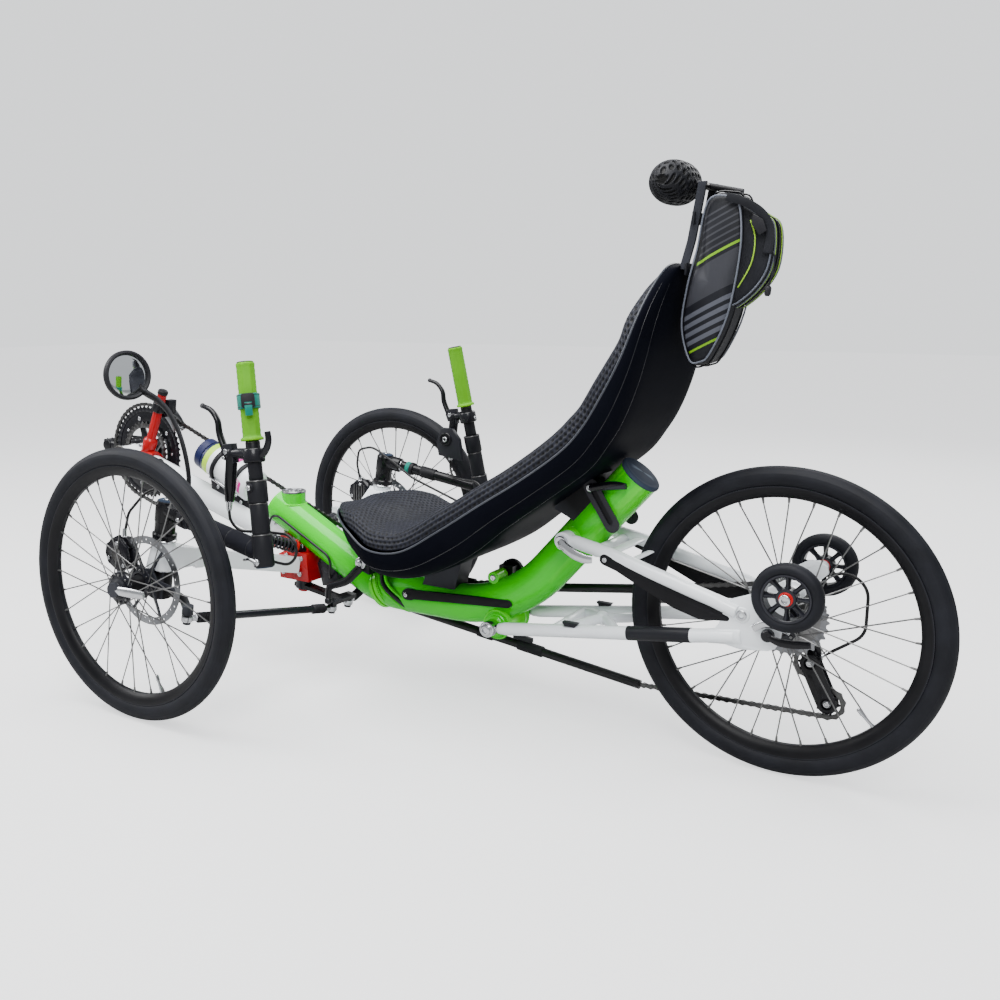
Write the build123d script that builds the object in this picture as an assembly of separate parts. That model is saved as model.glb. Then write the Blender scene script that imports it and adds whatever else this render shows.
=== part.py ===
from build123d import *
import os
from math import acos, atan2, cos, degrees, hypot, radians, sin, sqrt, tan

os.makedirs("parts", exist_ok=True)

# A recumbent trike with two steered front wheels and a sprung, folding frame.
# Millimetres. +X is the direction of travel, +Y the rider's left, +Z up.
# Every piece is placed from the rear hub's foot on the drawing's floor; save() moves
# the whole trike back so that its origin is under the middle of its length, and lifts
# it when other wheels are fitted. fore() moves the front of the trike with its axle.

# ---- driving dimensions ----------------------------------------------------
wheel_radius = 240.0          # outside of the tyre
tyre_width = 35.0
wheelbase = 990.0
drawn_wheelbase = 990.0       # the places ahead of the seat are given for this wheelbase
axle_height = 240.0           # height of the axles over the floor of the drawing
stretch = wheelbase - drawn_wheelbase
hub_half_track = 405.0        # wheel centre planes from the middle
kingpin_half_track = 335.0
caster_deg = 9.0

gap = 0.3                     # between curved faces of different bodies
pin_gap = 0.3                 # radial clearance of pins in their bores

frame_radius = 35.0
frame_floor = 180.0           # height of the main tube's flat stretch
frame_rear_end = (233.0, 0, 445.0)
frame_rear_bend = (464.0, 0, frame_floor)
frame_front_bend = (stretch + 734.0, 0, frame_floor)
frame_front_end = (stretch + 1000.0, 0, 317.0)
frame_bend_radii = (250.0, 160.0)
hinge_at = (stretch + 736.0, 0, 184.0)
hinge_lean_deg = 24.0         # the fold joint leans back at its foot
flange_radius = 40.0
flange_thick = 7.0
hinge_plate_thick = 4.0

boom_radius = 25.0
bottom_bracket = (stretch + 1435.0, 0, 385.0)
boom_tail = (stretch + 978.0, 0, 245.0)
bb_shell_radius = 21.0
bb_shell_half = 34.0

crank_length = 170.0
crank_arm_y = 78.0
crank_arm_thick = 13.0
spindle_radius = 12.0
ring_radius = 106.0
chain_y = -48.0
pedal_length = 90.0           # along the direction of travel
pedal_width = 80.0
pedal_thick = 22.0
pedal_start_y = 100.0

rear_dropout_y = 71.5         # middle of the dropout plates
dropout_thick = 8.0
stay_radius = 11.0
cassette_radius = 62.0

roller_radius = 50.0
roller_width = 24.0
roller_centre = (-33.0, 113.0, 310.0)

SIDES = (("left", 1), ("right", -1))

# ---- helpers ---------------------------------------------------------------
overall_front = bottom_bracket[0] + crank_length + pedal_length / 2
shift_x = -(overall_front - wheel_radius) / 2


def fore(*points):
    """(x, z) or (x, y, z) points of the front of the trike, moved with its axle."""
    moved = [(point[0] + stretch, *point[1:]) for point in points]
    return moved[0] if len(moved) == 1 else moved


def save(node, *shapes):
    """Write one node, moved so that the origin is on the ground under the trike's middle."""
    place = Pos(shift_x, 0, wheel_radius - axle_height)
    solids = [place * solid for shape in shapes for solid in shape.solids()]
    moved = solids[0] if len(solids) == 1 else Compound(solids)
    moved.label = node
    export_step(moved, f"parts/{node}.step")


def rod(start, end, radius):
    start, end = Vector(start), Vector(end)
    return Solid.make_cylinder(radius, (end - start).length, Plane(origin=start, z_dir=end - start))


def taper(start, end, radius_start, radius_end):
    start, end = Vector(start), Vector(end)
    plane = Plane(origin=start, z_dir=end - start)
    return Solid.make_cone(radius_start, radius_end, (end - start).length, plane)


def pipe(points, bends, radius):
    """A round bar along straight runs joined by arcs, one bend radius a corner."""
    path = FilletPolyline(*points, radius=bends)
    return sweep(Plane(origin=path @ 0, z_dir=path % 0) * Circle(radius), path=path)


def slab(outline, y_from, y_to):
    """A flat piece: an outline of (x, z) points, thick from y_from to y_to."""
    face = make_face(Polyline(*outline, close=True))
    low, high = min(y_from, y_to), max(y_from, y_to)
    return Pos(0, high, 0) * extrude(Plane.XZ * face, amount=high - low)


def across(x, z, y_from, y_to, radius):
    return rod((x, y_from, z), (x, y_to, z), radius)


def washer(x, z, y_from, y_to, outer, inner):
    return across(x, z, y_from, y_to, outer) - across(x, z, y_from, y_to, inner)


def ribbon(points, thick):
    """The outline of a band of the given thickness along a line of (x, z) points."""
    ahead, back = [], []
    for i, (x, z) in enumerate(points):
        x0, z0 = points[max(i - 1, 0)]
        x1, z1 = points[min(i + 1, len(points) - 1)]
        length = hypot(x1 - x0, z1 - z0)
        nx, nz = -(z1 - z0) / length, (x1 - x0) / length
        ahead.append((x + nx * thick / 2, z + nz * thick / 2))
        back.append((x - nx * thick / 2, z - nz * thick / 2))
    return ahead + back[::-1]


def arc_points(cx, cz, radius, start_deg, end_deg, steps):
    turn = (end_deg - start_deg) / steps
    angles = [radians(start_deg + turn * i) for i in range(steps + 1)]
    return [(cx + radius * cos(a), cz + radius * sin(a)) for a in angles]


def tangent_deg(cx, cz, radius, x, z, hand):
    """The angle on a circle where a straight run from (x, z) touches it."""
    towards = atan2(z - cz, x - cx)
    half = atan2(sqrt(hypot(x - cx, z - cz) ** 2 - radius**2), radius)
    return degrees(towards + hand * half)


# ---- main frame ------------------------------------------------------------
def frame_tube(radius):
    points = (frame_rear_end, frame_rear_bend, frame_front_bend, frame_front_end)
    return pipe(points, frame_bend_radii, radius)


hinge_normal = Vector(cos(radians(hinge_lean_deg)), 0, -sin(radians(hinge_lean_deg)))
hinge_point = Vector(hinge_at)


def hinge_disc(radius, start, end):
    return rod(hinge_point + hinge_normal * start, hinge_point + hinge_normal * end, radius)


hinge_face = hinge_plate_thick / 2
whole_tube = frame_tube(frame_radius)
rear_plane = Plane(origin=hinge_point - hinge_normal * hinge_face, z_dir=hinge_normal)
front_plane = Plane(origin=hinge_point + hinge_normal * hinge_face, z_dir=hinge_normal)

pivot_x, pivot_z = 473.0, 163.0      # lower pivot of the rear arm
pivot_boss_radius = 16.0
pivot_boss_half = 50.0
stay_x, stay_z = 333.0, 337.0        # upper fixing of the rear arm
stay_boss_radius = 14.0
stay_boss_half = 50.0
eye_x, eye_z = 492.0, 240.0          # open cross eye on top of the tube
eye_radius, eye_bore, eye_half = 11.0, 4.0, 16.0

main_frame = split(whole_tube, bisect_by=rear_plane, keep=Keep.BOTTOM)
main_frame += hinge_disc(flange_radius, -hinge_face - flange_thick, -hinge_face)
main_frame += across(pivot_x, pivot_z, -pivot_boss_half, pivot_boss_half, pivot_boss_radius)
main_frame += across(stay_x, stay_z, -stay_boss_half, stay_boss_half, stay_boss_radius)
main_frame += across(eye_x, eye_z, -eye_half, eye_half, eye_radius)
main_frame -= across(eye_x, eye_z, -eye_half, eye_half, eye_bore)
save("main_frame", main_frame)

boss_x, boss_top, boss_radius = stretch + 961.0, 346.0, 24.0
boss_foot = 300.0
frame_nose = split(whole_tube, bisect_by=front_plane, keep=Keep.TOP)
frame_nose += hinge_disc(flange_radius, hinge_face, hinge_face + flange_thick)
frame_nose += rod((boss_x, 0, boss_foot), (boss_x, 0, boss_top), boss_radius)
save("frame_nose", frame_nose)

cap_thick = 6.0
rear_run = (Vector(frame_rear_end) - Vector(frame_rear_bend)).normalized()
end_cap = rod(frame_rear_end, Vector(frame_rear_end) + rear_run * cap_thick, frame_radius + 1)
save("end_cap", end_cap)

# The fold joint's plate, its clamp on top and the clamp's cranked lever, in one piece.
clamp_x, clamp_z, clamp_radius = stretch + 760.0, 236.0, 10.0
clamp_reach_left, clamp_reach_right = 46.0, -16.0
clamp_knob_radius = 17.0
latch_radius = flange_radius + 3
hinge_up = Vector(sin(radians(hinge_lean_deg)), 0, cos(radians(hinge_lean_deg)))
fold_clamp = hinge_disc(latch_radius, -hinge_face, hinge_face)
fold_clamp += rod(hinge_point + hinge_up * (latch_radius - 8), (clamp_x, 0, clamp_z), 8)
fold_clamp += across(clamp_x, clamp_z, clamp_reach_right, clamp_reach_left, clamp_radius)
fold_clamp += across(clamp_x, clamp_z - 2, clamp_reach_left - 10, clamp_reach_left - 1, clamp_knob_radius)
lever_points = ((clamp_x, 44, clamp_z - 8), *fore((792, 50, 196), (832, 50, 180), (836, 50, 152)))
fold_clamp += pipe(lever_points, (14, 10), 6)
fold_clamp -= main_frame
fold_clamp -= frame_nose
save("fold_clamp", fold_clamp)

# Flat strips that keep heels off the tube and the seat stays.
strip_thick = 4.0
strip_front, strip_tip = fore((672, 190), (700, 186))
strip_foot = fore((690, 166))
strip_outline = (strip_tip, strip_front, (560, 180), (432, 202), (440, 186), (560, 162), strip_foot)
frame_strips = [
    slab(strip_outline, side * (frame_radius - strip_thick), side * (frame_radius + strip_thick)) - main_frame
    for _, side in SIDES
]

# ---- boom, mast and bottle ---------------------------------------------------
boom = rod(boom_tail, bottom_bracket, boom_radius)
boom += across(bottom_bracket[0], bottom_bracket[2], -bb_shell_half, bb_shell_half, bb_shell_radius)
boom += Pos(*fore((992, 0, 258))) * Box(44, 44, 56)
bb_bore = spindle_radius + pin_gap
boom -= across(bottom_bracket[0], bottom_bracket[2], -bb_shell_half, bb_shell_half, bb_bore)
boom -= frame_nose
save("boom", boom)

boom_run = (Vector(bottom_bracket) - Vector(boom_tail)).normalized()
boom_up = Vector(-boom_run.Z, 0, boom_run.X)


def on_boom(x, lift=0.0):
    """A point above the boom's centre line at the given x."""
    start = Vector(boom_tail)
    return start + boom_run * ((x - start.X) / boom_run.X) + boom_up * lift


mast_foot, mast_top = Vector(*fore((1381, 0, 398))), Vector(*fore((1327, 0, 530)))
mast_clamp = fore((1366, 0), (1396, 0))
mast_radius = 10.0
mast = rod(mast_foot, mast_top, mast_radius)
mast += rod(on_boom(mast_clamp[0][0]), on_boom(mast_clamp[1][0]), boom_radius + 5)
mast += rod(mast_foot, mast_foot + (mast_top - mast_foot).normalized() * 26, 15)
mast -= rod(boom_tail, bottom_bracket, boom_radius)
mast -= boom
save("derailleur_mast", mast)

mast_run = (mast_top - mast_foot).normalized()
cage_half = 11.0
cage_arc = ribbon(arc_points(bottom_bracket[0], bottom_bracket[2], ring_radius + 9, 128, 152, 4), 22)
front_derailleur = slab(cage_arc, chain_y - cage_half - 2, chain_y - cage_half)
front_derailleur += slab(cage_arc, chain_y + cage_half, chain_y + cage_half + 2)
link_outline = fore((1345, 470), (1360, 478), (1352, 506), (1322, 512), (1325, 480))
front_derailleur += slab(link_outline, -37, -12)
band_low = mast_top - mast_run * 46
front_derailleur += rod(band_low, mast_top - mast_run * 26, mast_radius + 5)
front_derailleur -= rod(mast_foot, mast_top + mast_run * 10, mast_radius)
cage_pin = fore((1329, 446))
front_derailleur += across(*cage_pin, chain_y - cage_half - 1, chain_y + cage_half + 1, 3)
save("front_derailleur", front_derailleur)

bottle_radius = 36.0
bottle_tail, bottle_nose = Vector(*fore((1062, 0, 345))), Vector(*fore((1207, 0, 408)))
bottle_run = (bottle_nose - bottle_tail).normalized()
bottle = rod(bottle_tail, bottle_nose, bottle_radius)
bottle += rod(bottle_nose, bottle_nose + bottle_run * 14, 27)
save("bottle", bottle)
cage_wall = 3.0
cage_parts = None
for along in (28.0, 92.0):
    start = bottle_tail + bottle_run * along
    ring = rod(start, start + bottle_run * 9, bottle_radius + gap + cage_wall)
    cage_parts = ring if cage_parts is None else cage_parts + ring
cage_foot = slab(fore((1078, 292), (1180, 322), (1184, 368), (1070, 318)), -9, 9)
cage_parts += cage_foot
cage_parts -= rod(bottle_tail - bottle_run * 30, bottle_nose + bottle_run * 30, bottle_radius + gap)
cage_parts -= rod(boom_tail, bottom_bracket, boom_radius)
save("bottle_cage", cage_parts)

# ---- front axle --------------------------------------------------------------
lean = radians(caster_deg)
king_up = Vector(-sin(lean), 0, cos(lean))
king_ahead = Vector(cos(lean), 0, sin(lean))


def kingpin(side, along=0.0, ahead=0.0, out=0.0):
    """A point from the kingpin's axis: along it, ahead of it and outboard."""
    origin = Vector(wheelbase, side * kingpin_half_track, axle_height)
    return origin + king_up * along + king_ahead * ahead + Vector(0, side * out, 0)


head_low, head_high = 20.0, 68.0
steerer_radius = 12.0
head_radius = 20.0
arm_inner_y, arm_inner_z, arm_x = 38.0, 208.0, stretch + 930.0
arm_half_high, arm_half_wide = 16.0, 15.0
bracket_outline = fore((895, 176), (968, 176), (972, 224), (950, 236), (900, 232))
axle_bracket = slab(bracket_outline, -arm_inner_y, arm_inner_y)
bell_arm, bell_out, bell_along = 95.6, 26.0, -28.4


def tie_end(side):
    """Outer ball joint of a tie rod, on the knuckle's steering arm."""
    return kingpin(side, bell_along, -bell_arm, bell_out)


bell_centre = Vector(*fore((939.4, 0, 157.0)))


def bell_end(side):
    return bell_centre - king_ahead * bell_arm + Vector(0, side * bell_out, 0)


bell_pin_radius = 6.0
axle_bracket += rod(bell_centre + king_up * 12, bell_centre + king_up * 30, 13)
axle_bracket += rod(bell_centre - king_up * 12, bell_centre + king_up * 20, bell_pin_radius)
axle_bracket += rod(bell_centre - king_up * 12, bell_centre - king_up * 6.5, 10)
shock_inner, shock_outer = fore((918, 26, 238), (958, 132, 282))
shock_radius = 13.0
bracket_ear = slab(fore((905, 226), (935, 226), (930, 262), (908, 262)), -24, 24)
axle_bracket += bracket_ear
axle_bracket -= frame_nose
axle_bracket -= boom

block_outline = fore((835, 178), (872, 172), (882, 212), (872, 232), (846, 224))
steering_block = slab(block_outline, -20, 20) - frame_nose
save("axle_bracket", axle_bracket, steering_block)

arms, shocks = [], []

for name, side in SIDES:
    inner = Vector(arm_x, side * arm_inner_y, arm_inner_z)
    outer = kingpin(side, head_low + 22)
    arm_plane = Plane(origin=inner, x_dir=(1, 0, 0), z_dir=(outer - inner))
    arm_face = arm_plane * Rectangle(2 * arm_half_wide, 2 * arm_half_high)
    arm = extrude(arm_face, amount=(outer - inner).length)
    arm = split(arm, bisect_by=Plane(origin=inner, z_dir=(0, side, 0)), keep=Keep.TOP)
    arm += taper(kingpin(side, head_low), kingpin(side, head_high), head_radius + 8, head_radius)
    flare = arm_plane.offset((outer - inner).length - 78) * Rectangle(34, 34)
    flare_end = Plane(origin=outer, x_dir=king_ahead, z_dir=outer - inner) * Rectangle(52, 44)
    arm += loft([flare, flare_end])
    ear_x = shock_outer[0]
    ear = slab(((ear_x - 14, 240), (ear_x + 14, 240), (ear_x + 9, 292), (ear_x - 9, 292)),
               side * (shock_outer[1] + gap), side * (shock_outer[1] + 12))
    arm += ear
    arm -= rod(kingpin(side, -60), kingpin(side, 160), steerer_radius + pin_gap)
    arm -= rod(kingpin(side, -60), kingpin(side, head_low), 60)
    arm -= rod(kingpin(side, head_high), kingpin(side, 160), 60)
    arms.append(arm)

    start = Vector(shock_inner[0], side * shock_inner[1], shock_inner[2])
    end = Vector(shock_outer[0], side * shock_outer[1], shock_outer[2])
    run = (end - start).normalized()
    shock = rod(start, end, 7)
    shock += rod(start + run * 22, start + run * 78, shock_radius)
    shock += rod(start + run * 78, start + run * 86, shock_radius + 3)
    shock -= axle_bracket
    shock -= frame_nose
    shock = split(shock, bisect_by=Plane(origin=end, z_dir=(0, side, 0)), keep=Keep.BOTTOM)
    shocks.append(shock)
save("front_arms", *arms)
save("shocks", *shocks)

# Headset cups at both ends of each head tube.
cup_thick = 5.0
cups = []
for _, side in SIDES:
    for low in (head_low - cup_thick, head_high):
        cup = rod(kingpin(side, low), kingpin(side, low + cup_thick), head_radius + 2)
        cups.append(cup - rod(kingpin(side, -60), kingpin(side, 160), steerer_radius + pin_gap))
save("headset_cups", *cups)

# ---- steering linkage ----------------------------------------------------------
link_thick = 8.0
stud_radius = 4.0
eye_outer = 10.0
plate_low, plate_high = -4.0, 4.0
bellcrank = rod(bell_centre + king_up * -6, bell_centre + king_up * 11.5, 16)
bell_plane = Plane(origin=bell_centre + king_up * plate_low, x_dir=king_ahead, z_dir=king_up)
arm_shape = make_face(Polyline((14, 13), (14, -13), (-bell_arm + 12, -11), (-bell_arm + 10, -38),
                               (-bell_arm - 10, -38), (-bell_arm - 10, 38), (-bell_arm + 10, 38),
                               (-bell_arm + 12, 11), close=True))
bellcrank += extrude(bell_plane * arm_shape, amount=plate_high - plate_low)
bellcrank -= rod(bell_centre - king_up * 30, bell_centre + king_up * 40, bell_pin_radius + pin_gap)
for _, side in SIDES:
    joint = bell_end(side)
    bellcrank += rod(joint + king_up * plate_low, joint - king_up * 22, stud_radius)
    bellcrank += rod(joint - king_up * 19.5, joint - king_up * 23, 7)
save("bellcrank", bellcrank)

rod_end_half = 5.0
rod_end_drop = -13.0       # centre of the eyes under the bellcrank's plate
tie_radius = 7.5           # the sleeve over the middle of each tie rod
for name, side in SIDES:
    outer = tie_end(side) + king_up * rod_end_drop
    inner = bell_end(side) + king_up * rod_end_drop
    run = (outer - inner).normalized()
    tie = rod(inner + run * 8, outer - run * 8, 5)
    tie += rod(inner + run * 26, outer - run * 26, tie_radius)
    for centre in (inner, outer):
        tie += rod(centre - king_up * rod_end_half, centre + king_up * rod_end_half, eye_outer)
    for centre in (inner, outer):
        bore = rod(centre - king_up * 20, centre + king_up * 20, stud_radius + pin_gap)
        tie -= bore
    save(f"tie_rod_{name}", tie)

# ---- knuckles and everything that steers with them ------------------------------
knuckle_low, knuckle_high = -36.0, head_low - cup_thick - 0.5
axle_radius = 9.0
hub_boss_radius = 14.0
hub_inner, hub_outer = 28.0, 104.0      # from the kingpin outwards
stem_low, stem_high = head_high + cup_thick + 0.5, 142.0
bar_radius = {"left": 17.0, "right": 12.0}
post_rings = (   # height from, height to, radius
    (300.0, 352.0, 17.0),
    (352.0, 402.0, 15.5),
    (402.0, 438.0, 17.0),
    (438.0, 500.5, 12.0),
)
grip_low, grip_high, grip_radius = 501.0, 626.0, 16.0
rotor_y, rotor_radius, rotor_thick = 32.0, 80.0, 2.0
lever_set_back = {"left": 0.0, "right": 15.0}
handlebars = {}
hose_radius = 2.5


def post_at(height, side):
    """A point on the leaning grip post's axis at the given height."""
    rise = height - 450
    return Vector(stretch + 752 + 0.176 * rise, side * (343 - 0.0857 * rise), height)


for name, side in SIDES:
    hub = Vector(wheelbase, 0, axle_height)
    knuckle = rod(kingpin(side, knuckle_low), kingpin(side, knuckle_high), 20)
    knuckle += rod(kingpin(side, 0), kingpin(side, stem_high - 4), steerer_radius)
    king_y = side * kingpin_half_track
    knuckle += across(hub.X, hub.Z, king_y, king_y + side * (hub_outer + 6), axle_radius)
    knuckle += across(hub.X, hub.Z, king_y, king_y + side * (hub_inner - 1), hub_boss_radius)
    knuckle += across(hub.X, hub.Z, king_y + side * (hub_outer + 1), king_y + side * (hub_outer + 8), 13)
    arm_root = kingpin(side, bell_along + 12, -6)
    arm_tip = tie_end(side) + king_up * 2
    elbow = kingpin(side, bell_along + 6, -bell_arm + 30, 6)
    knuckle += rod(arm_root, elbow, 8)
    knuckle += Pos(*elbow) * Sphere(8)
    knuckle += rod(elbow, arm_tip, 8)
    knuckle += rod(arm_tip - king_up * 7, arm_tip + king_up * 9, eye_outer)
    knuckle += rod(arm_tip, tie_end(side) - king_up * 22, stud_radius)
    knuckle += rod(tie_end(side) - king_up * 19.5, tie_end(side) - king_up * 23, 7)
    save(f"knuckle_{name}", knuckle)

    stem = rod(kingpin(side, stem_low), kingpin(side, stem_low + 10), head_radius + 1)
    stem += rod(kingpin(side, stem_low + 10), kingpin(side, stem_high), 18)
    bar_front = kingpin(side, stem_high - 16)
    bar_back = post_at(322, side)
    bar_run = (bar_back - bar_front).normalized()
    stem += rod(bar_front, bar_front + bar_run * 44, 16)
    stem += rod(bar_front, bar_back, 11)
    stem += rod(bar_front + bar_run * 60, bar_back, bar_radius[name])
    for low, high, radius in post_rings:
        stem += rod(post_at(low, side), post_at(high, side), radius)
    stem -= rod(kingpin(side, 0), kingpin(side, stem_high - 4), steerer_radius)
    handlebars[name] = stem
    save(f"handlebar_{name}", stem)

    grip_run = (post_at(grip_high, side) - post_at(grip_low, side)).normalized()
    grip_plane = Plane(origin=post_at(grip_low, side), z_dir=grip_run)
    grip = extrude(grip_plane * RegularPolygon(grip_radius, 8), amount=grip_high - grip_low)
    grip += rod(post_at(grip_low, side), post_at(grip_low + 6, side), grip_radius + 3)
    save(f"grip_{name}", grip)

    lever_y, set_back = post_at(480, side).Y, lever_set_back[name]
    lever_x = stretch - set_back
    body_top, body_foot = Vector(lever_x + 806, lever_y, 480), Vector(lever_x + 814, lever_y, 396)
    lever = rod(post_at(468, side), post_at(490, side), 18)
    lever += rod(body_top, body_foot, 10)
    lever += rod(body_foot, body_foot + Vector(1, 0, -16), 5)
    lever += rod(post_at(479, side) + Vector(10, 0, 0), body_top + Vector(0, 0, -4), 9)
    blade = [Vector(lever_x + x, lever_y, z) for x, z in ((812, 470), (829, 500), (838, 532), (869, 553))]
    lever += pipe(blade, (30, 22), 5)
    hook = fore((748, lever_y, 476), (731, lever_y, 488), (726, lever_y, 518))
    lever += pipe(hook, (10,), 5)
    lever -= rod(post_at(430, side), post_at(510, side), 12.0)
    save(f"brake_lever_{name}", lever)

    caliper_mid = king_y + side * rotor_y
    caliper_outline = fore((1026, 268), (1046, 246), (1082, 262), (1086, 296), (1052, 312), (1030, 296))
    caliper = slab(caliper_outline, caliper_mid - side * 17, caliper_mid + side * 11)
    slot = across(hub.X, hub.Z, caliper_mid - side * 3, caliper_mid + side * 3, rotor_radius + 4)
    caliper -= slot
    caliper += rod((hub.X + 10, king_y + side * 12, hub.Z - 2), (hub.X + 54, king_y + side * 16, hub.Z + 18), 6)
    caliper -= knuckle
    caliper -= slot
    save(f"caliper_{name}", caliper)

    # The hose drops from the lever, loops back inside the post and arcs over to the caliper.
    foot_x = 815 - set_back
    hose_points = [Vector(x, side * y, z) for x, y, z in fore(
        (foot_x, abs(lever_y), 379.5), (foot_x, 338, 345), (760, 312, 345), (700, 306, 345),
        (700, 306, 292), (760, 310, 296), (880, 309, 338), (930, 303, 372), (985, 306, 400),
        (1035, 322, 388), (1058, 345, 350), (1058, 357, 309))]
    hose_bends = (28, 60, 26, 26, 80, 80, 60, 50, 40, 30)
    hose = pipe(hose_points, hose_bends, hose_radius) - caliper
    print(f"brake hose {name}: bend radii {min(hose_bends)} to {max(hose_bends)} mm")
    save(f"brake_hose_{name}", hose)

strap_low, strap_high = 552.0, 576.0
strap = rod(post_at(strap_low, 1), post_at(strap_high, 1), grip_radius + 4)
strap -= rod(post_at(strap_low - 9, 1), post_at(strap_high + 9, 1), grip_radius + gap)
save("grip_strap", strap)

mirror_centre = Vector(*fore((1061, 330, 596)))
mirror_radius = 42.0
mirror_back = Vector(0.955, -0.26, -0.1).normalized()
stalk_points = fore((1058, 304, 571), (1010, 312, 556), (948, 324, 508), (915, 332, 425), (918, 338, 362))
mirror_arm = rod(mirror_centre, mirror_centre + mirror_back * 14, mirror_radius)
mirror_arm += pipe(stalk_points, (60, 90, 60), 6)
bar_front, bar_back = kingpin(1, stem_high - 16), post_at(322, 1)
bar_run = (bar_back - bar_front).normalized()
clamp_at = bar_front + bar_run * 53
mirror_arm += rod(clamp_at - bar_run * 7, clamp_at + bar_run * 7, 19)
mirror_arm -= handlebars["left"]
save("mirror", mirror_arm)

# ---- wheels --------------------------------------------------------------------
rim_inner, rim_outer, rim_half = wheel_radius - 48.0, wheel_radius - 33.0, 12.0
tyre_centre = wheel_radius - tyre_width / 2
spoke_radius = 1.1
spoke_count = 32
spoke_lean_deg = 45.0
flange_hole_radius = 24.0


def tyre_profile():
    """A tyre's section: a round tread over a narrower bead, in short straight sides."""
    half = tyre_width / 2
    crown = [radians(a) for a in (-35, 0, 30, 60, 90, 120, 150, 180, 215)]
    points = [(tyre_centre + half * sin(a), half * cos(a)) for a in crown]
    return points + [(rim_outer + gap, -rim_half + 1), (rim_outer + gap, rim_half - 1)]


def wheel(flange_in, flange_out, shell, bore, hub_in, hub_out):
    """Rim, spokes and hub as one piece about the Y axis; +Y is outboard."""
    rim = ((rim_inner, -4), (rim_inner, 4), (rim_outer - 6, rim_half), (rim_outer, rim_half),
           (rim_outer, -rim_half), (rim_outer - 6, -rim_half))
    body = revolve(make_face(Polyline(*rim, close=True)), axis=Axis.Y)
    hub = ((bore, hub_in), (shell, hub_in), (shell, flange_in - 3), (28, flange_in - 2),
           (28, flange_in + 2), (shell, flange_in + 3), (shell, flange_out - 3), (28, flange_out - 2),
           (28, flange_out + 2), (shell, flange_out + 3), (shell, hub_out), (bore, hub_out))
    pieces = [revolve(make_face(Polyline(*hub, close=True)), axis=Axis.Y)]
    for i in range(spoke_count):
        rim_angle = radians(360 * i / spoke_count)
        flange = flange_in if i % 2 else flange_out
        lean_hand = 1 if (i // 2) % 2 else -1
        hub_angle = rim_angle + lean_hand * radians(spoke_lean_deg)
        offset = lean_hand * 2.4
        foot = (flange_hole_radius * cos(hub_angle), flange + offset, flange_hole_radius * sin(hub_angle))
        tip = ((rim_inner + 2) * cos(rim_angle), 2 if flange > 0 else -2, (rim_inner + 2) * sin(rim_angle))
        pieces.append(rod(foot, tip, spoke_radius))
    return body.fuse(*pieces)


front_wheel = wheel(-20, 24, 14, axle_radius + pin_gap, hub_inner - 70, hub_outer - 70)
tyre = revolve(make_face(Polyline(*tyre_profile(), close=True)), axis=Axis.Y)
cassette_sprockets = ((62, 29.5), (57, 34.5), (52, 39.5), (47, 44.5), (42, 49.5), (36, 54.5))

for name, side in SIDES:
    place = Pos(wheelbase, side * hub_half_track, axle_height)
    turned = front_wheel if side > 0 else mirror(front_wheel, about=Plane.XZ)
    save(f"wheel_{name}", place * turned)
    save(f"tyre_{name}", place * tyre)
    king_y = side * kingpin_half_track
    rotor = washer(wheelbase, axle_height, king_y + side * (rotor_y - 1), king_y + side * (rotor_y + 1),
                   rotor_radius, rotor_radius - 14)
    for i in range(6):
        blade_box = Pos(45, 0, 0) * Box(56, rotor_thick, 7)
        blade_turned = Pos(wheelbase, king_y + side * rotor_y, axle_height) * Rot(0, 60 * i, 0) * blade_box
        rotor += blade_turned
    rotor += washer(wheelbase, axle_height, king_y + side * (rotor_y - 2), king_y + side * (rotor_y + 2), 22, 14.05)
    rotor -= across(wheelbase, axle_height, king_y, king_y + side * 60, 14.05)
    save(f"rotor_{name}", rotor)

rear_place = Pos(0, 0, axle_height)
cassette = None
for radius, out in cassette_sprockets:
    sprocket = washer(0, axle_height, -out, -out - 2, radius, 14.05)
    cassette = sprocket if cassette is None else cassette + sprocket
cassette += washer(0, axle_height, -29.5, -58, 20, 14.05)
save("cassette", cassette)
rear_flanged = mirror(wheel(-24, 24, 14, 5.3, -66.5, 66.5), about=Plane.XZ)
save("wheel_rear", rear_place * rear_flanged)
save("tyre_rear", rear_place * tyre)

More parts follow.
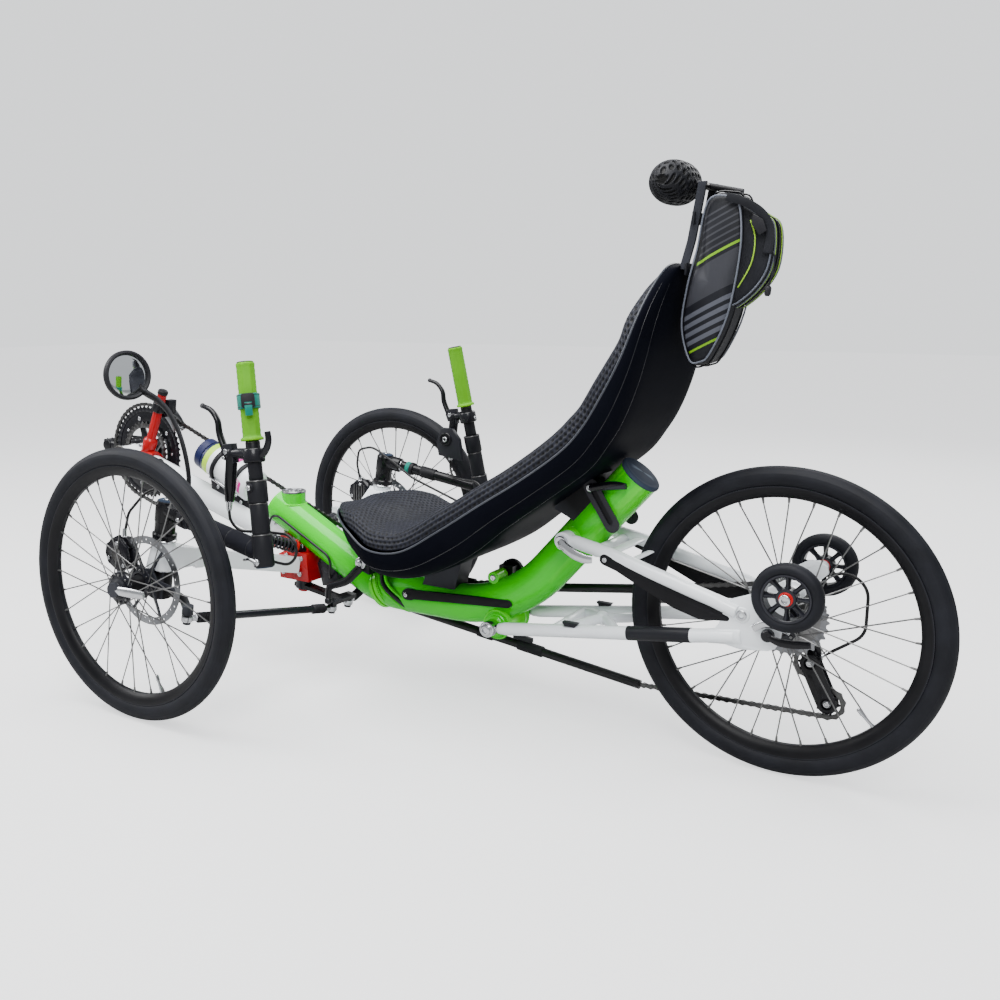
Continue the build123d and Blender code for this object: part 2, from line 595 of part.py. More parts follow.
# ---- rear arm --------------------------------------------------------------------
fork_y = 62.0
bridge_radius = 9.0
rear_arm = across(352, 181, -fork_y, fork_y, bridge_radius)
rear_arm += across(280, 324, -fork_y, fork_y, bridge_radius)
for name, side in SIDES:
    low_front = (pivot_x, side * fork_y, pivot_z)
    low_back = (44, side * rear_dropout_y, 228)
    top_front = (stay_x, side * fork_y, stay_z)
    top_back = (48, side * (rear_dropout_y + 2), 266)
    arm = rod(low_front, low_back, stay_radius)
    arm += rod(top_front, top_back, stay_radius)
    arm += across(pivot_x, pivot_z, side * (pivot_boss_half + gap), side * (fork_y + 12), 15)
    arm += across(stay_x, stay_z, side * (stay_boss_half + gap), side * (fork_y + 12), 14)
    plate = slab(((92, 218), (70, 276), (20, 300), (-18, 322), (-46, 316), (-46, 302), (-20, 270),
                  (-16, 228), (0, 216)), side * (rear_dropout_y - dropout_thick / 2),
                 side * (rear_dropout_y + dropout_thick / 2))
    plate -= across(0, axle_height, side * 50, side * 90, 5.3)
    arm += plate
    arm -= across(0, axle_height, side * 50, side * 90, 5.3)
    roller_inner = roller_centre[1] - roller_width / 2
    arm += across(roller_centre[0], roller_centre[2], side * (rear_dropout_y - 4), side * (roller_inner - 1), 10)
    arm += across(roller_centre[0], roller_centre[2], side * (rear_dropout_y), side * (roller_inner + roller_width + 6), 5)
    arm += across(roller_centre[0], roller_centre[2], side * (roller_inner + roller_width + 1),
                  side * (roller_inner + roller_width + 6), 8)
    rear_arm += arm

    roller = washer(roller_centre[0], roller_centre[2], side * roller_inner, side * (roller_inner + roller_width),
                    roller_radius, 5 + pin_gap)
    save(f"roller_{name}", roller)

save("rear_arm", rear_arm)

# Pivot bolt heads and the quick-release lever on the upper fixing.
fittings = []
for _, side in SIDES:
    outer = side * (fork_y + 12)
    fittings.append(across(pivot_x, pivot_z, outer, outer + side * 7, 10))
    fittings.append(across(stay_x, stay_z, outer, outer + side * 8, 9))
lever_bar = rod((stay_x, fork_y + 18, stay_z), (276, fork_y + 22, 316), 6)
fittings[1] = fittings[1] + lever_bar

# The rear axle is held in the dropouts; its skewer lever lies along the left side.
axle_out = rear_dropout_y + dropout_thick / 2
rear_axle = across(0, axle_height, -axle_out - 6, axle_out + 6, 5)
rear_axle += across(0, axle_height, axle_out, axle_out + 10, 12)
rear_axle += across(0, axle_height, -axle_out, -axle_out - 8, 10)
rear_axle += rod((0, axle_out + 8, axle_height), (-62, axle_out + 14, axle_height - 2), 5)
save("axle_fittings", *fittings, rear_axle)

stay_strips = []
for _, side in SIDES:
    strip = slab(((266, 316), (262, 304), (120, 240), (78, 246), (92, 262)), side * 58, side * 66)
    strip -= rod((stay_x, side * fork_y, stay_z), (48, side * (rear_dropout_y + 2), 266), stay_radius)
    strip -= rod((pivot_x, side * fork_y, pivot_z), (44, side * rear_dropout_y, 228), stay_radius)
    stay_strips.append(strip)
save("guards", *frame_strips, *stay_strips)

# ---- crankset ----------------------------------------------------------------------
bb_x, bb_z = bottom_bracket[0], bottom_bracket[2]
crank_inner = crank_arm_y - crank_arm_thick / 2
crankset = across(bb_x, bb_z, -crank_arm_y, crank_arm_y, spindle_radius)
for side, ahead in ((1, -1), (-1, 1)):
    y0, y1 = side * crank_inner, side * (crank_inner + crank_arm_thick)
    end_x = bb_x + ahead * crank_length
    outline = ((bb_x - ahead * 16, bb_z - 15), (bb_x - ahead * 16, bb_z + 15), (end_x + ahead * 12, bb_z + 11),
               (end_x + ahead * 12, bb_z - 11))
    crankset += slab(outline, y0, y1)
    crankset += across(end_x, bb_z, side * crank_inner, side * (pedal_start_y + pedal_width - 4), 5)
ring_rows = ((ring_radius, chain_y, 70.0), (88.0, chain_y - 7, 60.0), (70.0, chain_y + 7, 52.0))
for radius, ring_y, inner in ring_rows:
    crankset += washer(bb_x, bb_z, ring_y - 1, ring_y + 1, radius, inner)
for i in range(5):
    arm_box = Pos(46, 0, 0) * Box(64, 19, 16)
    crankset += Pos(bb_x, chain_y - 2, bb_z) * Rot(0, 72 * i + 20, 0) * arm_box
crankset += across(bb_x, bb_z, chain_y + 9, -crank_inner, 24)
save("crankset", crankset)

for name, side, ahead in (("left", 1, -1), ("right", -1, 1)):
    end_x = bb_x + ahead * crank_length
    middle = side * (pedal_start_y + pedal_width / 2)
    pedal = Pos(end_x, middle, bb_z) * Box(pedal_length, pedal_width, pedal_thick)
    pedal -= across(end_x, bb_z, side * (pedal_start_y - 10), side * (pedal_start_y + pedal_width + 10), 5 + pin_gap)
    save(f"pedal_{name}", pedal)

# ---- chain line -----------------------------------------------------------------------
chain_high, chain_wide = 8.0, 7.0
wrap_clear = 1.0
idler_x, idler_z, idler_radius = 488.0, 240.0, 22.0
tube_radius = 8.0
upper_front, upper_mid = fore((840.0, 259.0), (640.0, 206.0))
upper_back = (566.0, 205.0)
upper_rear_front, upper_rear_back = (440.0, 216.0), (246.0, 243.0)
lower_front, lower_rear = fore((1110.0, 172.0)), (240.0, 75.0)
lower_over, lower_under = fore((845.0, 168.0), (720.0, 134.0))    # over the bellcrank, under the fold
ring_wrap = ring_radius + wrap_clear + chain_high / 2
top_deg = tangent_deg(bb_x, bb_z, ring_wrap, *upper_front, -1)
low_deg = tangent_deg(bb_x, bb_z, ring_wrap, *lower_front, 1)
front_wrap = arc_points(bb_x, bb_z, ring_wrap, top_deg, low_deg - 360, 14)
front_chain = ribbon([upper_front] + front_wrap + [lower_front], chain_high)

jockey_upper, jockey_lower, jockey_radius = (-34.0, 168.0), (-62.0, 108.0), 19.0
cog_wrap = 47.0 + wrap_clear + chain_high / 2
cog_deg = tangent_deg(0, axle_height, cog_wrap, *upper_rear_back, 1)
jockey_wrap = jockey_radius + wrap_clear + chain_high / 2


def crossed_tangent_deg(first, first_radius, second, second_radius, hand):
    """The angle on the first circle where a run that crosses over to the second one leaves it."""
    towards = atan2(second[1] - first[1], second[0] - first[0])
    spread = acos((first_radius + second_radius) / hypot(second[0] - first[0], second[1] - first[1]))
    return degrees(towards + hand * spread) % 360


rear_hub = (0.0, axle_height)
leave_cog = crossed_tangent_deg(rear_hub, cog_wrap, jockey_upper, jockey_wrap, -1)
leave_guide = crossed_tangent_deg(jockey_upper, jockey_wrap, jockey_lower, jockey_wrap, 1)
rear_wrap = arc_points(*rear_hub, cog_wrap, cog_deg, leave_cog, 8)
guide_wrap = arc_points(*jockey_upper, jockey_wrap, leave_cog - 180, leave_guide - 360, 4)
foot_wrap = arc_points(*jockey_lower, jockey_wrap, leave_guide - 180, 275, 5)
rear_chain = ribbon([upper_rear_back] + rear_wrap + guide_wrap + foot_wrap + [lower_rear], chain_high)
under_wrap = arc_points(idler_x, idler_z, idler_radius + wrap_clear + 4, 290, 255, 2)
mid_chain = ribbon([upper_back] + under_wrap + [upper_rear_front], chain_high)
chain_y0, chain_y1 = chain_y - chain_wide / 2, chain_y + chain_wide / 2


def chain_tube(*points, bends):
    places = [(x, chain_y, z) for x, z in points]
    if len(places) == 2:
        return rod(*places, tube_radius)
    return pipe(places, bends, tube_radius)


tubes = [
    chain_tube(upper_front, upper_mid, upper_back, bends=(150,)),
    chain_tube(upper_rear_front, upper_rear_back, bends=()),
    chain_tube(lower_front, lower_over, lower_under, lower_rear, bends=(250, 300)),
]
chain = [slab(outline, chain_y0, chain_y1) for outline in (front_chain, rear_chain, mid_chain)]
for tube in tubes:
    chain = [piece - tube for piece in chain]
save("chain", *chain)

idler = washer(idler_x, idler_z, chain_y - 5, chain_y + 5, idler_radius, 5 + pin_gap)
save("idler", idler)
idler_bracket = across(idler_x, idler_z, chain_y - 9, -eye_half - 1, 5)
idler_bracket += across(idler_x, idler_z, chain_y - 9, chain_y - 6, 14)
idler_bracket += slab(((idler_x - 14, idler_z - 14), (idler_x + 14, idler_z - 14), (idler_x + 14, idler_z + 14),
                       (idler_x - 14, idler_z + 14)), chain_y + 6, -22)
idler_bracket -= main_frame
save("chain_tubes", *tubes, idler_bracket)

# ---- rear derailleur ---------------------------------------------------------------------
cage_outline = ribbon((jockey_upper, jockey_lower), 30)
derailleur = slab(cage_outline, chain_y - 9, chain_y - 6)
derailleur += slab(cage_outline, chain_y + 6, chain_y + 8)
for x, z in (jockey_upper, jockey_lower):
    derailleur += across(x, z, chain_y - 9, chain_y + 8, 4)
    derailleur += across(x, z, chain_y - chain_wide / 2, chain_y + chain_wide / 2, jockey_radius)
derailleur += across(-36, 176, chain_y - 12, chain_y - 8, 6)
derailleur += slab(((-16, 200), (-2, 214), (-10, 230), (-44, 190), (-46, 160), (-26, 156)), chain_y - 18.5, chain_y - 10.5)
derailleur -= across(0, axle_height, -100, 0, 5.3)
save("rear_derailleur", derailleur)

# ---- gear cables ---------------------------------------------------------------------------
# One runs back along the right stay and loops down to the rear derailleur, the other
# lies along the left side of the nose; both are held all the way.
cable_radius = 2.5
stay_cable = ((300, -76.8, 328.8), (60, -86.5, 269.0), (-104, -86.5, 318), (-104, -80, 215), (-46, -62.5, 176))
stay_cable_bends = (80, 35, 30)
nose_cable = fore((1012, 25.2, 262), (985, 38.5, 309), (838, 38.5, 233), (842, 38, 202), (853, 22.3, 188))
nose_cable_bends = (25, 25, 25)
print(f"gear cables: bend radii {min(stay_cable_bends + nose_cable_bends)} to {max(stay_cable_bends)} mm")
cables = [
    pipe(stay_cable, stay_cable_bends, cable_radius) - derailleur - rear_arm,
    pipe(nose_cable, nose_cable_bends, cable_radius) - boom,
]
save("gear_cables", *cables)

# ---- seat -----------------------------------------------------------------------------------
# Stations from the nose to the top: rim x, z and half width, keel x, z and half width,
# then how far the pad's crown stands over the rim.
seat_stations = (
    (792, 338, 70, 783, 318, 45, 14),
    (760, 334, 112, 750, 296, 70, 20),
    (716, 322, 148, 704, 264, 84, 24),
    (660, 297, 165, 652, 243, 90, 24),
    (590, 303, 168, 575, 251, 92, 24),
    (510, 350, 168, 480, 298, 92, 24),
    (435, 400, 168, 405, 358, 92, 24),
    (364, 446, 168, 334, 412, 92, 24),
    (297, 496, 168, 267, 464, 90, 24),
    (262, 535, 167, 236, 504, 90, 24),
    (234, 582, 166, 211, 548, 88, 24),
    (207, 639, 161, 190, 612, 82, 22),
    (190, 700, 142, 175, 692, 74, 18),
    (183, 742, 105, 169, 738, 58, 14),
    (181, 772, 50, 168, 771, 32, 8),
)
shell_wall = 4.0
pad_crown_inset = 22.0


def station_plane_points(station):
    """Rim and keel points of a station and the unit vector from keel to rim."""
    rim_x, rim_z, rim_w, keel_x, keel_z, keel_w, _ = station
    depth = hypot(rim_x - keel_x, rim_z - keel_z)
    return rim_x, rim_z, rim_w, keel_x, keel_z, keel_w, (rim_x - keel_x) / depth, (rim_z - keel_z) / depth


def shell_section(station):
    rim_x, rim_z, rim_w, keel_x, keel_z, keel_w, ux, uz = station_plane_points(station)
    floor_x, floor_z = keel_x + ux * shell_wall, keel_z + uz * shell_wall
    corners = [(rim_x, rim_w, rim_z), (rim_x, rim_w - shell_wall, rim_z), (floor_x, keel_w - 2, floor_z)]
    inner = corners + [(x, -y, z) for x, y, z in reversed(corners)]
    return make_face(Polyline(*inner, (keel_x, -keel_w, keel_z), (keel_x, keel_w, keel_z), close=True))


def pad_section(station):
    rim_x, rim_z, rim_w, keel_x, keel_z, keel_w, ux, uz = station_plane_points(station)
    lift, crown_lift = shell_wall + gap, station[-1]
    floor = (keel_x + ux * lift, keel_w - 3, keel_z + uz * lift)
    edge = (rim_x, rim_w - shell_wall - 2 * gap, rim_z)
    crown = (rim_x + ux * crown_lift, rim_w - pad_crown_inset, rim_z + uz * crown_lift)
    half = [floor, edge, crown]
    points = half + [(x, -y, z) for x, y, z in reversed(half)]
    return make_face(Polyline(*points, close=True))


seat_shell = loft([shell_section(s) for s in seat_stations], ruled=True)
seat_pad = loft([pad_section(s) for s in seat_stations], ruled=True)
save("seat_shell", seat_shell)
save("seat_pad", seat_pad)


def hull_section(station):
    rim_x, rim_z, rim_w, keel_x, keel_z, keel_w, _, _ = station_plane_points(station)
    return make_face(Polyline((rim_x, rim_w, rim_z), (rim_x, -rim_w, rim_z), (keel_x, -keel_w, keel_z),
                              (keel_x, keel_w, keel_z), close=True))


seat_hull = loft([hull_section(s) for s in seat_stations], ruled=True)
front_block = slab(((640, 200), (570, 200), (548, 290), (610, 290)), -22, 22)
rear_block = slab(((330, 360), (300, 400), (286, 470), (345, 425), (372, 380)), -26, 26)
strap_plates = None
for _, side in SIDES:
    strap_plate = slab(((318, 424), (300, 436), (256, 378), (258, 366), (274, 362)), side * 35.2, side * 39.2)
    strap_plates = strap_plate if strap_plates is None else strap_plates + strap_plate
tie_bolt = across(300, 424, -44, 44, 4)
seat_mounts = [front_block - whole_tube - seat_hull]
rear_mount = rear_block - whole_tube - seat_hull
rear_mount += (strap_plates + tie_bolt) - whole_tube - seat_hull
seat_mounts.append(rear_mount)
seat_mounts[1] = seat_mounts[1] + rod((300, 42, 424), (238, 46, 433), 5)

# ---- headrest -------------------------------------------------------------------------------
rest_centre = Vector(191, 0, 901)
rest_radius, rest_half = 34.0, 26.0
headrest_pad = across(rest_centre.X, rest_centre.Z, -rest_half, rest_half, rest_radius)
for _, side in SIDES:
    headrest_pad += Pos(rest_centre.X, side * rest_half, rest_centre.Z) * Sphere(rest_radius)
headrest_frame = None
for _, side in SIDES:
    bar = slab(((134, 898), (146, 898), (160, 812), (171, 770), (159, 770), (148, 812)), side * 22, side * 28)
    headrest_frame = bar if headrest_frame is None else headrest_frame + bar
headrest_frame += rod((88, 0, 881), (165, 0, 899), 5)
headrest_frame += across(140, 892, -28, 28, 5)
headrest_pad -= rod((88, 0, 881), (170, 0, 900), 5 + gap)
headrest_frame -= seat_hull
save("headrest_pad", headrest_pad)
save("seat_mounts", *seat_mounts, headrest_frame)

# ---- bag -------------------------------------------------------------------------------------
bag_half = 46.0
bag_main = slab(((128, 878), (96, 884), (76, 870), (70, 800), (86, 700), (114, 634), (130, 620), (150, 624),
                 (166, 680), (158, 745), (144, 800)), -bag_half, bag_half)
bag_pocket = slab(((74, 862), (44, 850), (28, 826), (32, 765), (66, 722), (76, 720)), -bag_half + 12, bag_half - 12)
bag = bag_main + bag_pocket
bag -= headrest_frame
save("bag", bag)
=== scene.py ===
# %% [markdown]
# # Dressing a recumbent trike
# The solid model gives every part its place and its joints. This notebook gives the parts their looks:
# painted tubes, rubber, mesh cloth, spokes, chain and small fittings. It starts by loading the solids,
# because every new piece is placed by them and rides on one of their bodies.

# %% load the solid model
from math import cos, pi, radians, sin, sqrt

import bmesh
import bpy
import numpy as np
from mathutils import Matrix, Vector
from mathutils.geometry import tessellate_polygon


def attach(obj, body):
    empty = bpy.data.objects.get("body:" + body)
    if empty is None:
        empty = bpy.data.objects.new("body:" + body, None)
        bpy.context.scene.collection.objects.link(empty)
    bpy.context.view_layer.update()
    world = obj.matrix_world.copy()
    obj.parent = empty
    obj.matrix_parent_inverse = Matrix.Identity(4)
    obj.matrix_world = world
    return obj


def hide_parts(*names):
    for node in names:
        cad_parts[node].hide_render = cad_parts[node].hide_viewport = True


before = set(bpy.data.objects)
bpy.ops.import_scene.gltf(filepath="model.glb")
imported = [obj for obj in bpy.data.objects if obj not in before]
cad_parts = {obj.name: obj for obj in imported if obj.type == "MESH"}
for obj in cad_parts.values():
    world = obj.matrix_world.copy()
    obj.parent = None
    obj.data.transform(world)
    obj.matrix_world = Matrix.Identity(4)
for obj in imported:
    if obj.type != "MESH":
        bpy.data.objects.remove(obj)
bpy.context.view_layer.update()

# %% [markdown]
# ## Measuring from the rear hub
# A trike is easiest to measure from one fixed point. Here it is the ground under the rear hub, in
# millimetres: x runs towards the pedals, y to the rider's left and z upwards. The model's own origin
# lies under the middle of its length, so one function turns a measured place into the model's metres.

# %% places in millimetres
MM = 0.001
REAR_HUB_BEHIND = 705.0
SIDES = (("left", 1), ("right", -1))
WHEEL_RADIUS, TYRE_WIDTH = 240.0, 35.0
WHEELBASE, HALF_TRACK, KINGPIN_HALF_TRACK = 990.0, 405.0, 335.0
DISC_OUT = KINGPIN_HALF_TRACK + 32
CASTER = radians(9)


def spot(x, y, z):
    """A place in the model's metres, from millimetres behind or ahead of the rear hub."""
    return Vector(((x - REAR_HUB_BEHIND) * MM, y * MM, z * MM))


def across(u, v, w):
    """Puts a flat shape upright: u along the trike, v upwards, w out to the left."""
    return spot(u, w, v)


KING_UP = Vector((-sin(CASTER), 0, cos(CASTER)))
KING_AHEAD = Vector((cos(CASTER), 0, sin(CASTER)))
LEFT = Vector((0, 1, 0))


def kingpin(side, along=0.0, ahead=0.0, out=0.0):
    """A place given along, ahead of and outboard of a front wheel's leaning steering axis."""
    foot = spot(WHEELBASE, side * KINGPIN_HALF_TRACK, WHEEL_RADIUS)
    return foot + (KING_UP * along + KING_AHEAD * ahead + LEFT * side * out) * MM


print("rear hub at", tuple(round(c, 3) for c in spot(0, 0, WHEEL_RADIUS)))

# %% [markdown]
# ## The camera and a plain studio
# The camera stands behind the rider's left, about two metres away, and looks forward and slightly
# down. A pale floor, a pale sky and four soft lamps show gloss on the paint and the
# seat shell without hard shadows. Floor and sky look bright to the camera but light the trike only
# a little, so that black parts stay black.

# %% camera
def add_object(name, data):
    """A new object in the scene."""
    made = bpy.data.objects.new(name, data)
    bpy.context.scene.collection.objects.link(made)
    return made


EYE = spot(-388.8, 1602.15, 723.6)
YAW, PITCH, ROLL = radians(-55.6342), radians(-8.68), -0.0039
LENS, SHIFT_X, SHIFT_Y = 37.832, 0.1022, -0.03805
gaze = Vector((cos(YAW) * cos(PITCH), sin(YAW) * cos(PITCH), sin(PITCH)))
right = gaze.cross(Vector((0, 0, 1))).normalized()
upward = right.cross(gaze)
rolled_right = right * cos(ROLL) + upward * sin(ROLL)
rolled_up = upward * cos(ROLL) - right * sin(ROLL)
camera_data = bpy.data.cameras.new("camera")
camera_data.lens, camera_data.shift_x, camera_data.shift_y = LENS, SHIFT_X, SHIFT_Y
camera = add_object("camera", camera_data)
turn = Matrix((rolled_right, rolled_up, -gaze)).transposed().to_4x4()
camera.matrix_world = Matrix.Translation(EYE) @ turn
bpy.context.scene.camera = camera
print(f"camera {EYE.length:.1f} m away with a {LENS} mm lens")

# %% floor, sky and lamps
def camera_glow(tree, low, high, socket):
    """Sets a strength: low where light falls on the model, high where the camera looks at it."""
    seen = tree.nodes.new("ShaderNodeLightPath")
    share = tree.nodes.new("ShaderNodeMapRange")
    share.inputs["To Min"].default_value, share.inputs["To Max"].default_value = low, high
    tree.links.new(seen.outputs["Is Camera Ray"], share.inputs["Value"])
    tree.links.new(share.outputs["Result"], socket)


FLOOR_HALF = 14.0
floor_mesh = bpy.data.meshes.new("floor")
corners = [(x * FLOOR_HALF, y * FLOOR_HALF, 0) for x, y in ((-1, -1), (1, -1), (1, 1), (-1, 1))]
floor_mesh.from_pydata(corners, [], [(0, 1, 2, 3)])
floor = add_object("floor", floor_mesh)
floor_paint = bpy.data.materials.new("studio floor")
floor_paint.use_nodes = True
floor_shader = floor_paint.node_tree.nodes["Principled BSDF"]
floor_shader.inputs["Base Color"].default_value = (0.48, 0.48, 0.48, 1)
floor_shader.inputs["Roughness"].default_value = 0.75
floor_mesh.materials.append(floor_paint)
floor_shader.inputs["Emission Color"].default_value = (0.97, 0.98, 1.0, 1)
camera_glow(floor_paint.node_tree, 0, 1.2, floor_shader.inputs["Emission Strength"])

world = bpy.data.worlds.new("studio")
bpy.context.scene.world = world
world.use_nodes = True
sky = world.node_tree.nodes["Background"]
sky.inputs["Color"].default_value = (0.96, 0.98, 1.0, 1)
camera_glow(world.node_tree, 0.6, 1.45, sky.inputs["Strength"])


def soft_lamp(name, place, aim, size, watts):
    """A square lamp that faces a point."""
    data = bpy.data.lights.new(name, "AREA")
    data.energy, data.size = watts, size
    lamp = add_object(name, data)
    lamp.location = place
    lamp.rotation_euler = (Vector(aim) - Vector(place)).to_track_quat("-Z", "Y").to_euler()


soft_lamp("key lamp", (-1.6, 2.6, 3.0), (0.1, 0, 0.4), 1.6, 110)
soft_lamp("overhead lamp", (0.1, 0.5, 3.0), (0.0, 0, 0.4), 2.2, 170)
soft_lamp("fill lamp", (2.8, 1.2, 2.2), (0.2, 0, 0.4), 1.4, 80)
soft_lamp("back lamp", (-0.5, -3.0, 2.4), (0, 0, 0.4), 1.8, 60)
print(len(bpy.data.lights), "lamps over a floor", 2 * FLOOR_HALF, "m wide")

# %% [markdown]
# ## Finishes
# Real surfaces are never one flat colour. Each finish here is a small recipe: a base colour with a
# slow drift to a second one, a roughness that wanders a little, a fine grain as a bump, and lighter
# convex edges, partly rubbed wear and partly a painted edge highlight. All of it is worked out from the
# piece's own coordinates.

# %% a finish recipe
def mixed(made, share, first, second):
    """A node that mixes two colours, each a socket or plain numbers, and gives its colour socket."""
    node = made.node_tree.nodes.new("ShaderNodeMixRGB")
    for socket, value in zip(node.inputs, (share, first, second)):
        if isinstance(value, tuple):
            socket.default_value = (*value, 1)
        else:
            made.node_tree.links.new(value, socket)
    return node.outputs[0]


def finish(name, colour, second, rough, metal=0.0, coat=0.0, sheen=0.0, cloud=18.0, grain=900.0,
           depth=0.00008, spread=0.07, edge=None, edge_at=(0.53, 0.62), shine=0.5):
    """A procedural material; edge is the lighter colour on convex edges, partly rubbed wear and partly a
    painted edge highlight.
    """
    made = bpy.data.materials.new(name)
    made.use_nodes = True
    nodes, link = made.node_tree.nodes, made.node_tree.links.new
    shader = nodes["Principled BSDF"]
    shader.inputs["Metallic"].default_value = metal
    shader.inputs["Specular IOR Level"].default_value = shine
    shader.inputs["Coat Weight"].default_value = coat
    shader.inputs["Coat Roughness"].default_value = 0.06
    shader.inputs["Sheen Weight"].default_value = sheen
    where = nodes.new("ShaderNodeTexCoord")
    slow = nodes.new("ShaderNodeTexNoise")
    slow.inputs["Scale"].default_value = cloud
    slow.inputs["Detail"].default_value = 4
    link(where.outputs["Object"], slow.inputs["Vector"])
    spreader = nodes.new("ShaderNodeMapRange")
    spreader.inputs["From Min"].default_value, spreader.inputs["From Max"].default_value = 0.3, 0.7
    link(slow.outputs["Fac"], spreader.inputs["Value"])
    colour_out = mixed(made, spreader.outputs["Result"], colour, second)
    # convex edges take the lighter edge colour: partly rubbed wear, partly a painted edge highlight
    if edge:
        shape = nodes.new("ShaderNodeNewGeometry")
        worn_and_lit_edge = nodes.new("ShaderNodeMapRange")
        worn_and_lit_edge.inputs["From Min"].default_value, worn_and_lit_edge.inputs["From Max"].default_value = edge_at
        link(shape.outputs["Pointiness"], worn_and_lit_edge.inputs["Value"])
        colour_out = mixed(made, worn_and_lit_edge.outputs["Result"], colour_out, edge)
    link(colour_out, shader.inputs["Base Color"])
    gloss = nodes.new("ShaderNodeMapRange")
    gloss.inputs["To Min"].default_value = max(rough - spread, 0.03)
    gloss.inputs["To Max"].default_value = min(rough + spread, 1.0)
    link(slow.outputs["Fac"], gloss.inputs["Value"])
    link(gloss.outputs["Result"], shader.inputs["Roughness"])
    fine = nodes.new("ShaderNodeTexNoise")
    fine.inputs["Scale"].default_value = grain
    fine.inputs["Detail"].default_value = 3
    link(where.outputs["Object"], fine.inputs["Vector"])
    relief = nodes.new("ShaderNodeBump")
    relief.inputs["Strength"].default_value = 0.35
    relief.inputs["Distance"].default_value = depth
    link(fine.outputs["Fac"], relief.inputs["Height"])
    link(relief.outputs["Normal"], shader.inputs["Normal"])
    return made


def node_of(material, kind):
    """The first node of one kind in a material."""
    return next(n for n in material.node_tree.nodes if n.bl_idname == kind)


# the edge colour is a lighter tint of the base: rubbed wear plus a painted edge highlight
lime_paint = finish("lime gloss paint", (0.02, 0.6, 0.001), (0.014, 0.5, 0.001), 0.24, coat=0.16,
                    shine=0.25, cloud=5, grain=1400, depth=0.00003, spread=0.04, edge=(0.12, 0.75, 0.02))
print(lime_paint.name, "is made from", len(lime_paint.node_tree.nodes), "nodes")

# %% paints and metals
white_paint = finish("pearl white paint", (0.87, 0.9, 0.93), (0.77, 0.81, 0.85), 0.26, coat=0.4, cloud=6,
                     grain=1400, depth=0.00003, spread=0.05)
# edge colours of red, gloss and satin finishes: rubbed wear plus a painted edge highlight
red_paint = finish("red gloss", (0.4, 0.0, 0.003), (0.28, 0.0, 0.002), 0.26, coat=0.2, shine=0.25,
                   edge=(0.55, 0.01, 0.012))
black_gloss = finish("black gloss alloy", (0.002, 0.002, 0.003), (0.005, 0.005, 0.007), 0.26, coat=0.12,
                     shine=0.2, edge=(0.02, 0.021, 0.028))
black_satin = finish("black satin coat", (0.0025, 0.0025, 0.0035), (0.006, 0.006, 0.0075), 0.4, shine=0.16,
                     edge=(0.03, 0.032, 0.04))
shell_gloss = finish("black gelcoat shell", (0.003, 0.0034, 0.006), (0.005, 0.0056, 0.009), 0.48, cloud=4,
                     grain=60, depth=0.0003, spread=0.05, shine=0.006)
silver = finish("polished silver", (0.6, 0.61, 0.63), (0.48, 0.49, 0.51), 0.2, metal=1.0, grain=1200,
                depth=0.00003)
steel = finish("brushed steel", (0.26, 0.265, 0.28), (0.17, 0.175, 0.185), 0.32, metal=1.0, grain=700,
               depth=0.00006)
# edge colours of both dark steels: rubbed wear plus a painted edge highlight
dark_steel = finish(
    "dark steel", (0.05, 0.05, 0.053), (0.09, 0.087, 0.083), 0.38, metal=1.0, edge=(0.2, 0.2, 0.2))
chain_steel = finish(
    "chain steel", (0.02, 0.02, 0.021), (0.05, 0.048, 0.046), 0.36, metal=1.0, edge=(0.1, 0.1, 0.1))
print(len(bpy.data.materials), "finishes so far")

# %% rubbers, plastics and cloth
tyre_rubber = finish("tyre rubber", (0.004, 0.0045, 0.007), (0.009, 0.0098, 0.014), 0.62, cloud=26,
                     grain=1500, depth=0.00012, spread=0.1, shine=0.2)
# edge colours of the plastics and the lime grip: rubbed wear plus a painted edge highlight
matt_plastic = finish("black moulded plastic", (0.0025, 0.0025, 0.0035), (0.0055, 0.0055, 0.007), 0.5,
                      shine=0.16, edge=(0.03, 0.03, 0.036))
foam_sleeve = finish("black foam sleeve", (0.004, 0.0045, 0.008), (0.009, 0.0095, 0.014), 0.82, sheen=0.03,
                     grain=500, depth=0.0003, shine=0.12)
slate_plastic = finish("slate plastic cap", (0.016, 0.027, 0.05), (0.012, 0.02, 0.038), 0.6, shine=0.12,
                       edge=(0.09, 0.12, 0.16))
grip_lime = finish("soft lime rubber", (0.1, 0.36, 0.0005), (0.08, 0.3, 0.0005), 0.55, grain=1100,
                   depth=0.0002, shine=0.25, edge=(0.2, 0.52, 0.003))
teal_webbing = finish("teal webbing", (0.0, 0.2, 0.15), (0.0, 0.13, 0.1), 0.75, sheen=0.1, grain=1600,
                      depth=0.0004, shine=0.2)
bag_black = finish("bag black weave", (0.004, 0.0045, 0.007), (0.009, 0.01, 0.014), 0.6, grain=1300,
                   depth=0.0004, shine=0.22)
bead_grey = finish("seat bead", (0.022, 0.025, 0.034), (0.03, 0.034, 0.045), 0.35, shine=0.4)
crease_grey = finish("mould crease", (0.008, 0.009, 0.012), (0.012, 0.013, 0.017), 0.3, shine=0.35)
piping_grey = finish("grey piping", (0.12, 0.13, 0.16), (0.08, 0.09, 0.115), 0.5, shine=0.3)
hose_black = finish("cable outer", (0.004, 0.004, 0.005), (0.008, 0.008, 0.009), 0.35, shine=0.3)
tube_plastic = finish("black tube", (0.004, 0.004, 0.005), (0.008, 0.008, 0.009), 0.3, shine=0.3)
bottle_white = finish("bottle white", (0.8, 0.82, 0.84), (0.74, 0.76, 0.8), 0.32, coat=0.2)
bottle_navy = finish("bottle navy", (0.004, 0.008, 0.055), (0.003, 0.006, 0.04), 0.4, shine=0.3)
bottle_lime = finish("bottle lime", (0.42, 0.7, 0.01), (0.36, 0.62, 0.01), 0.4)
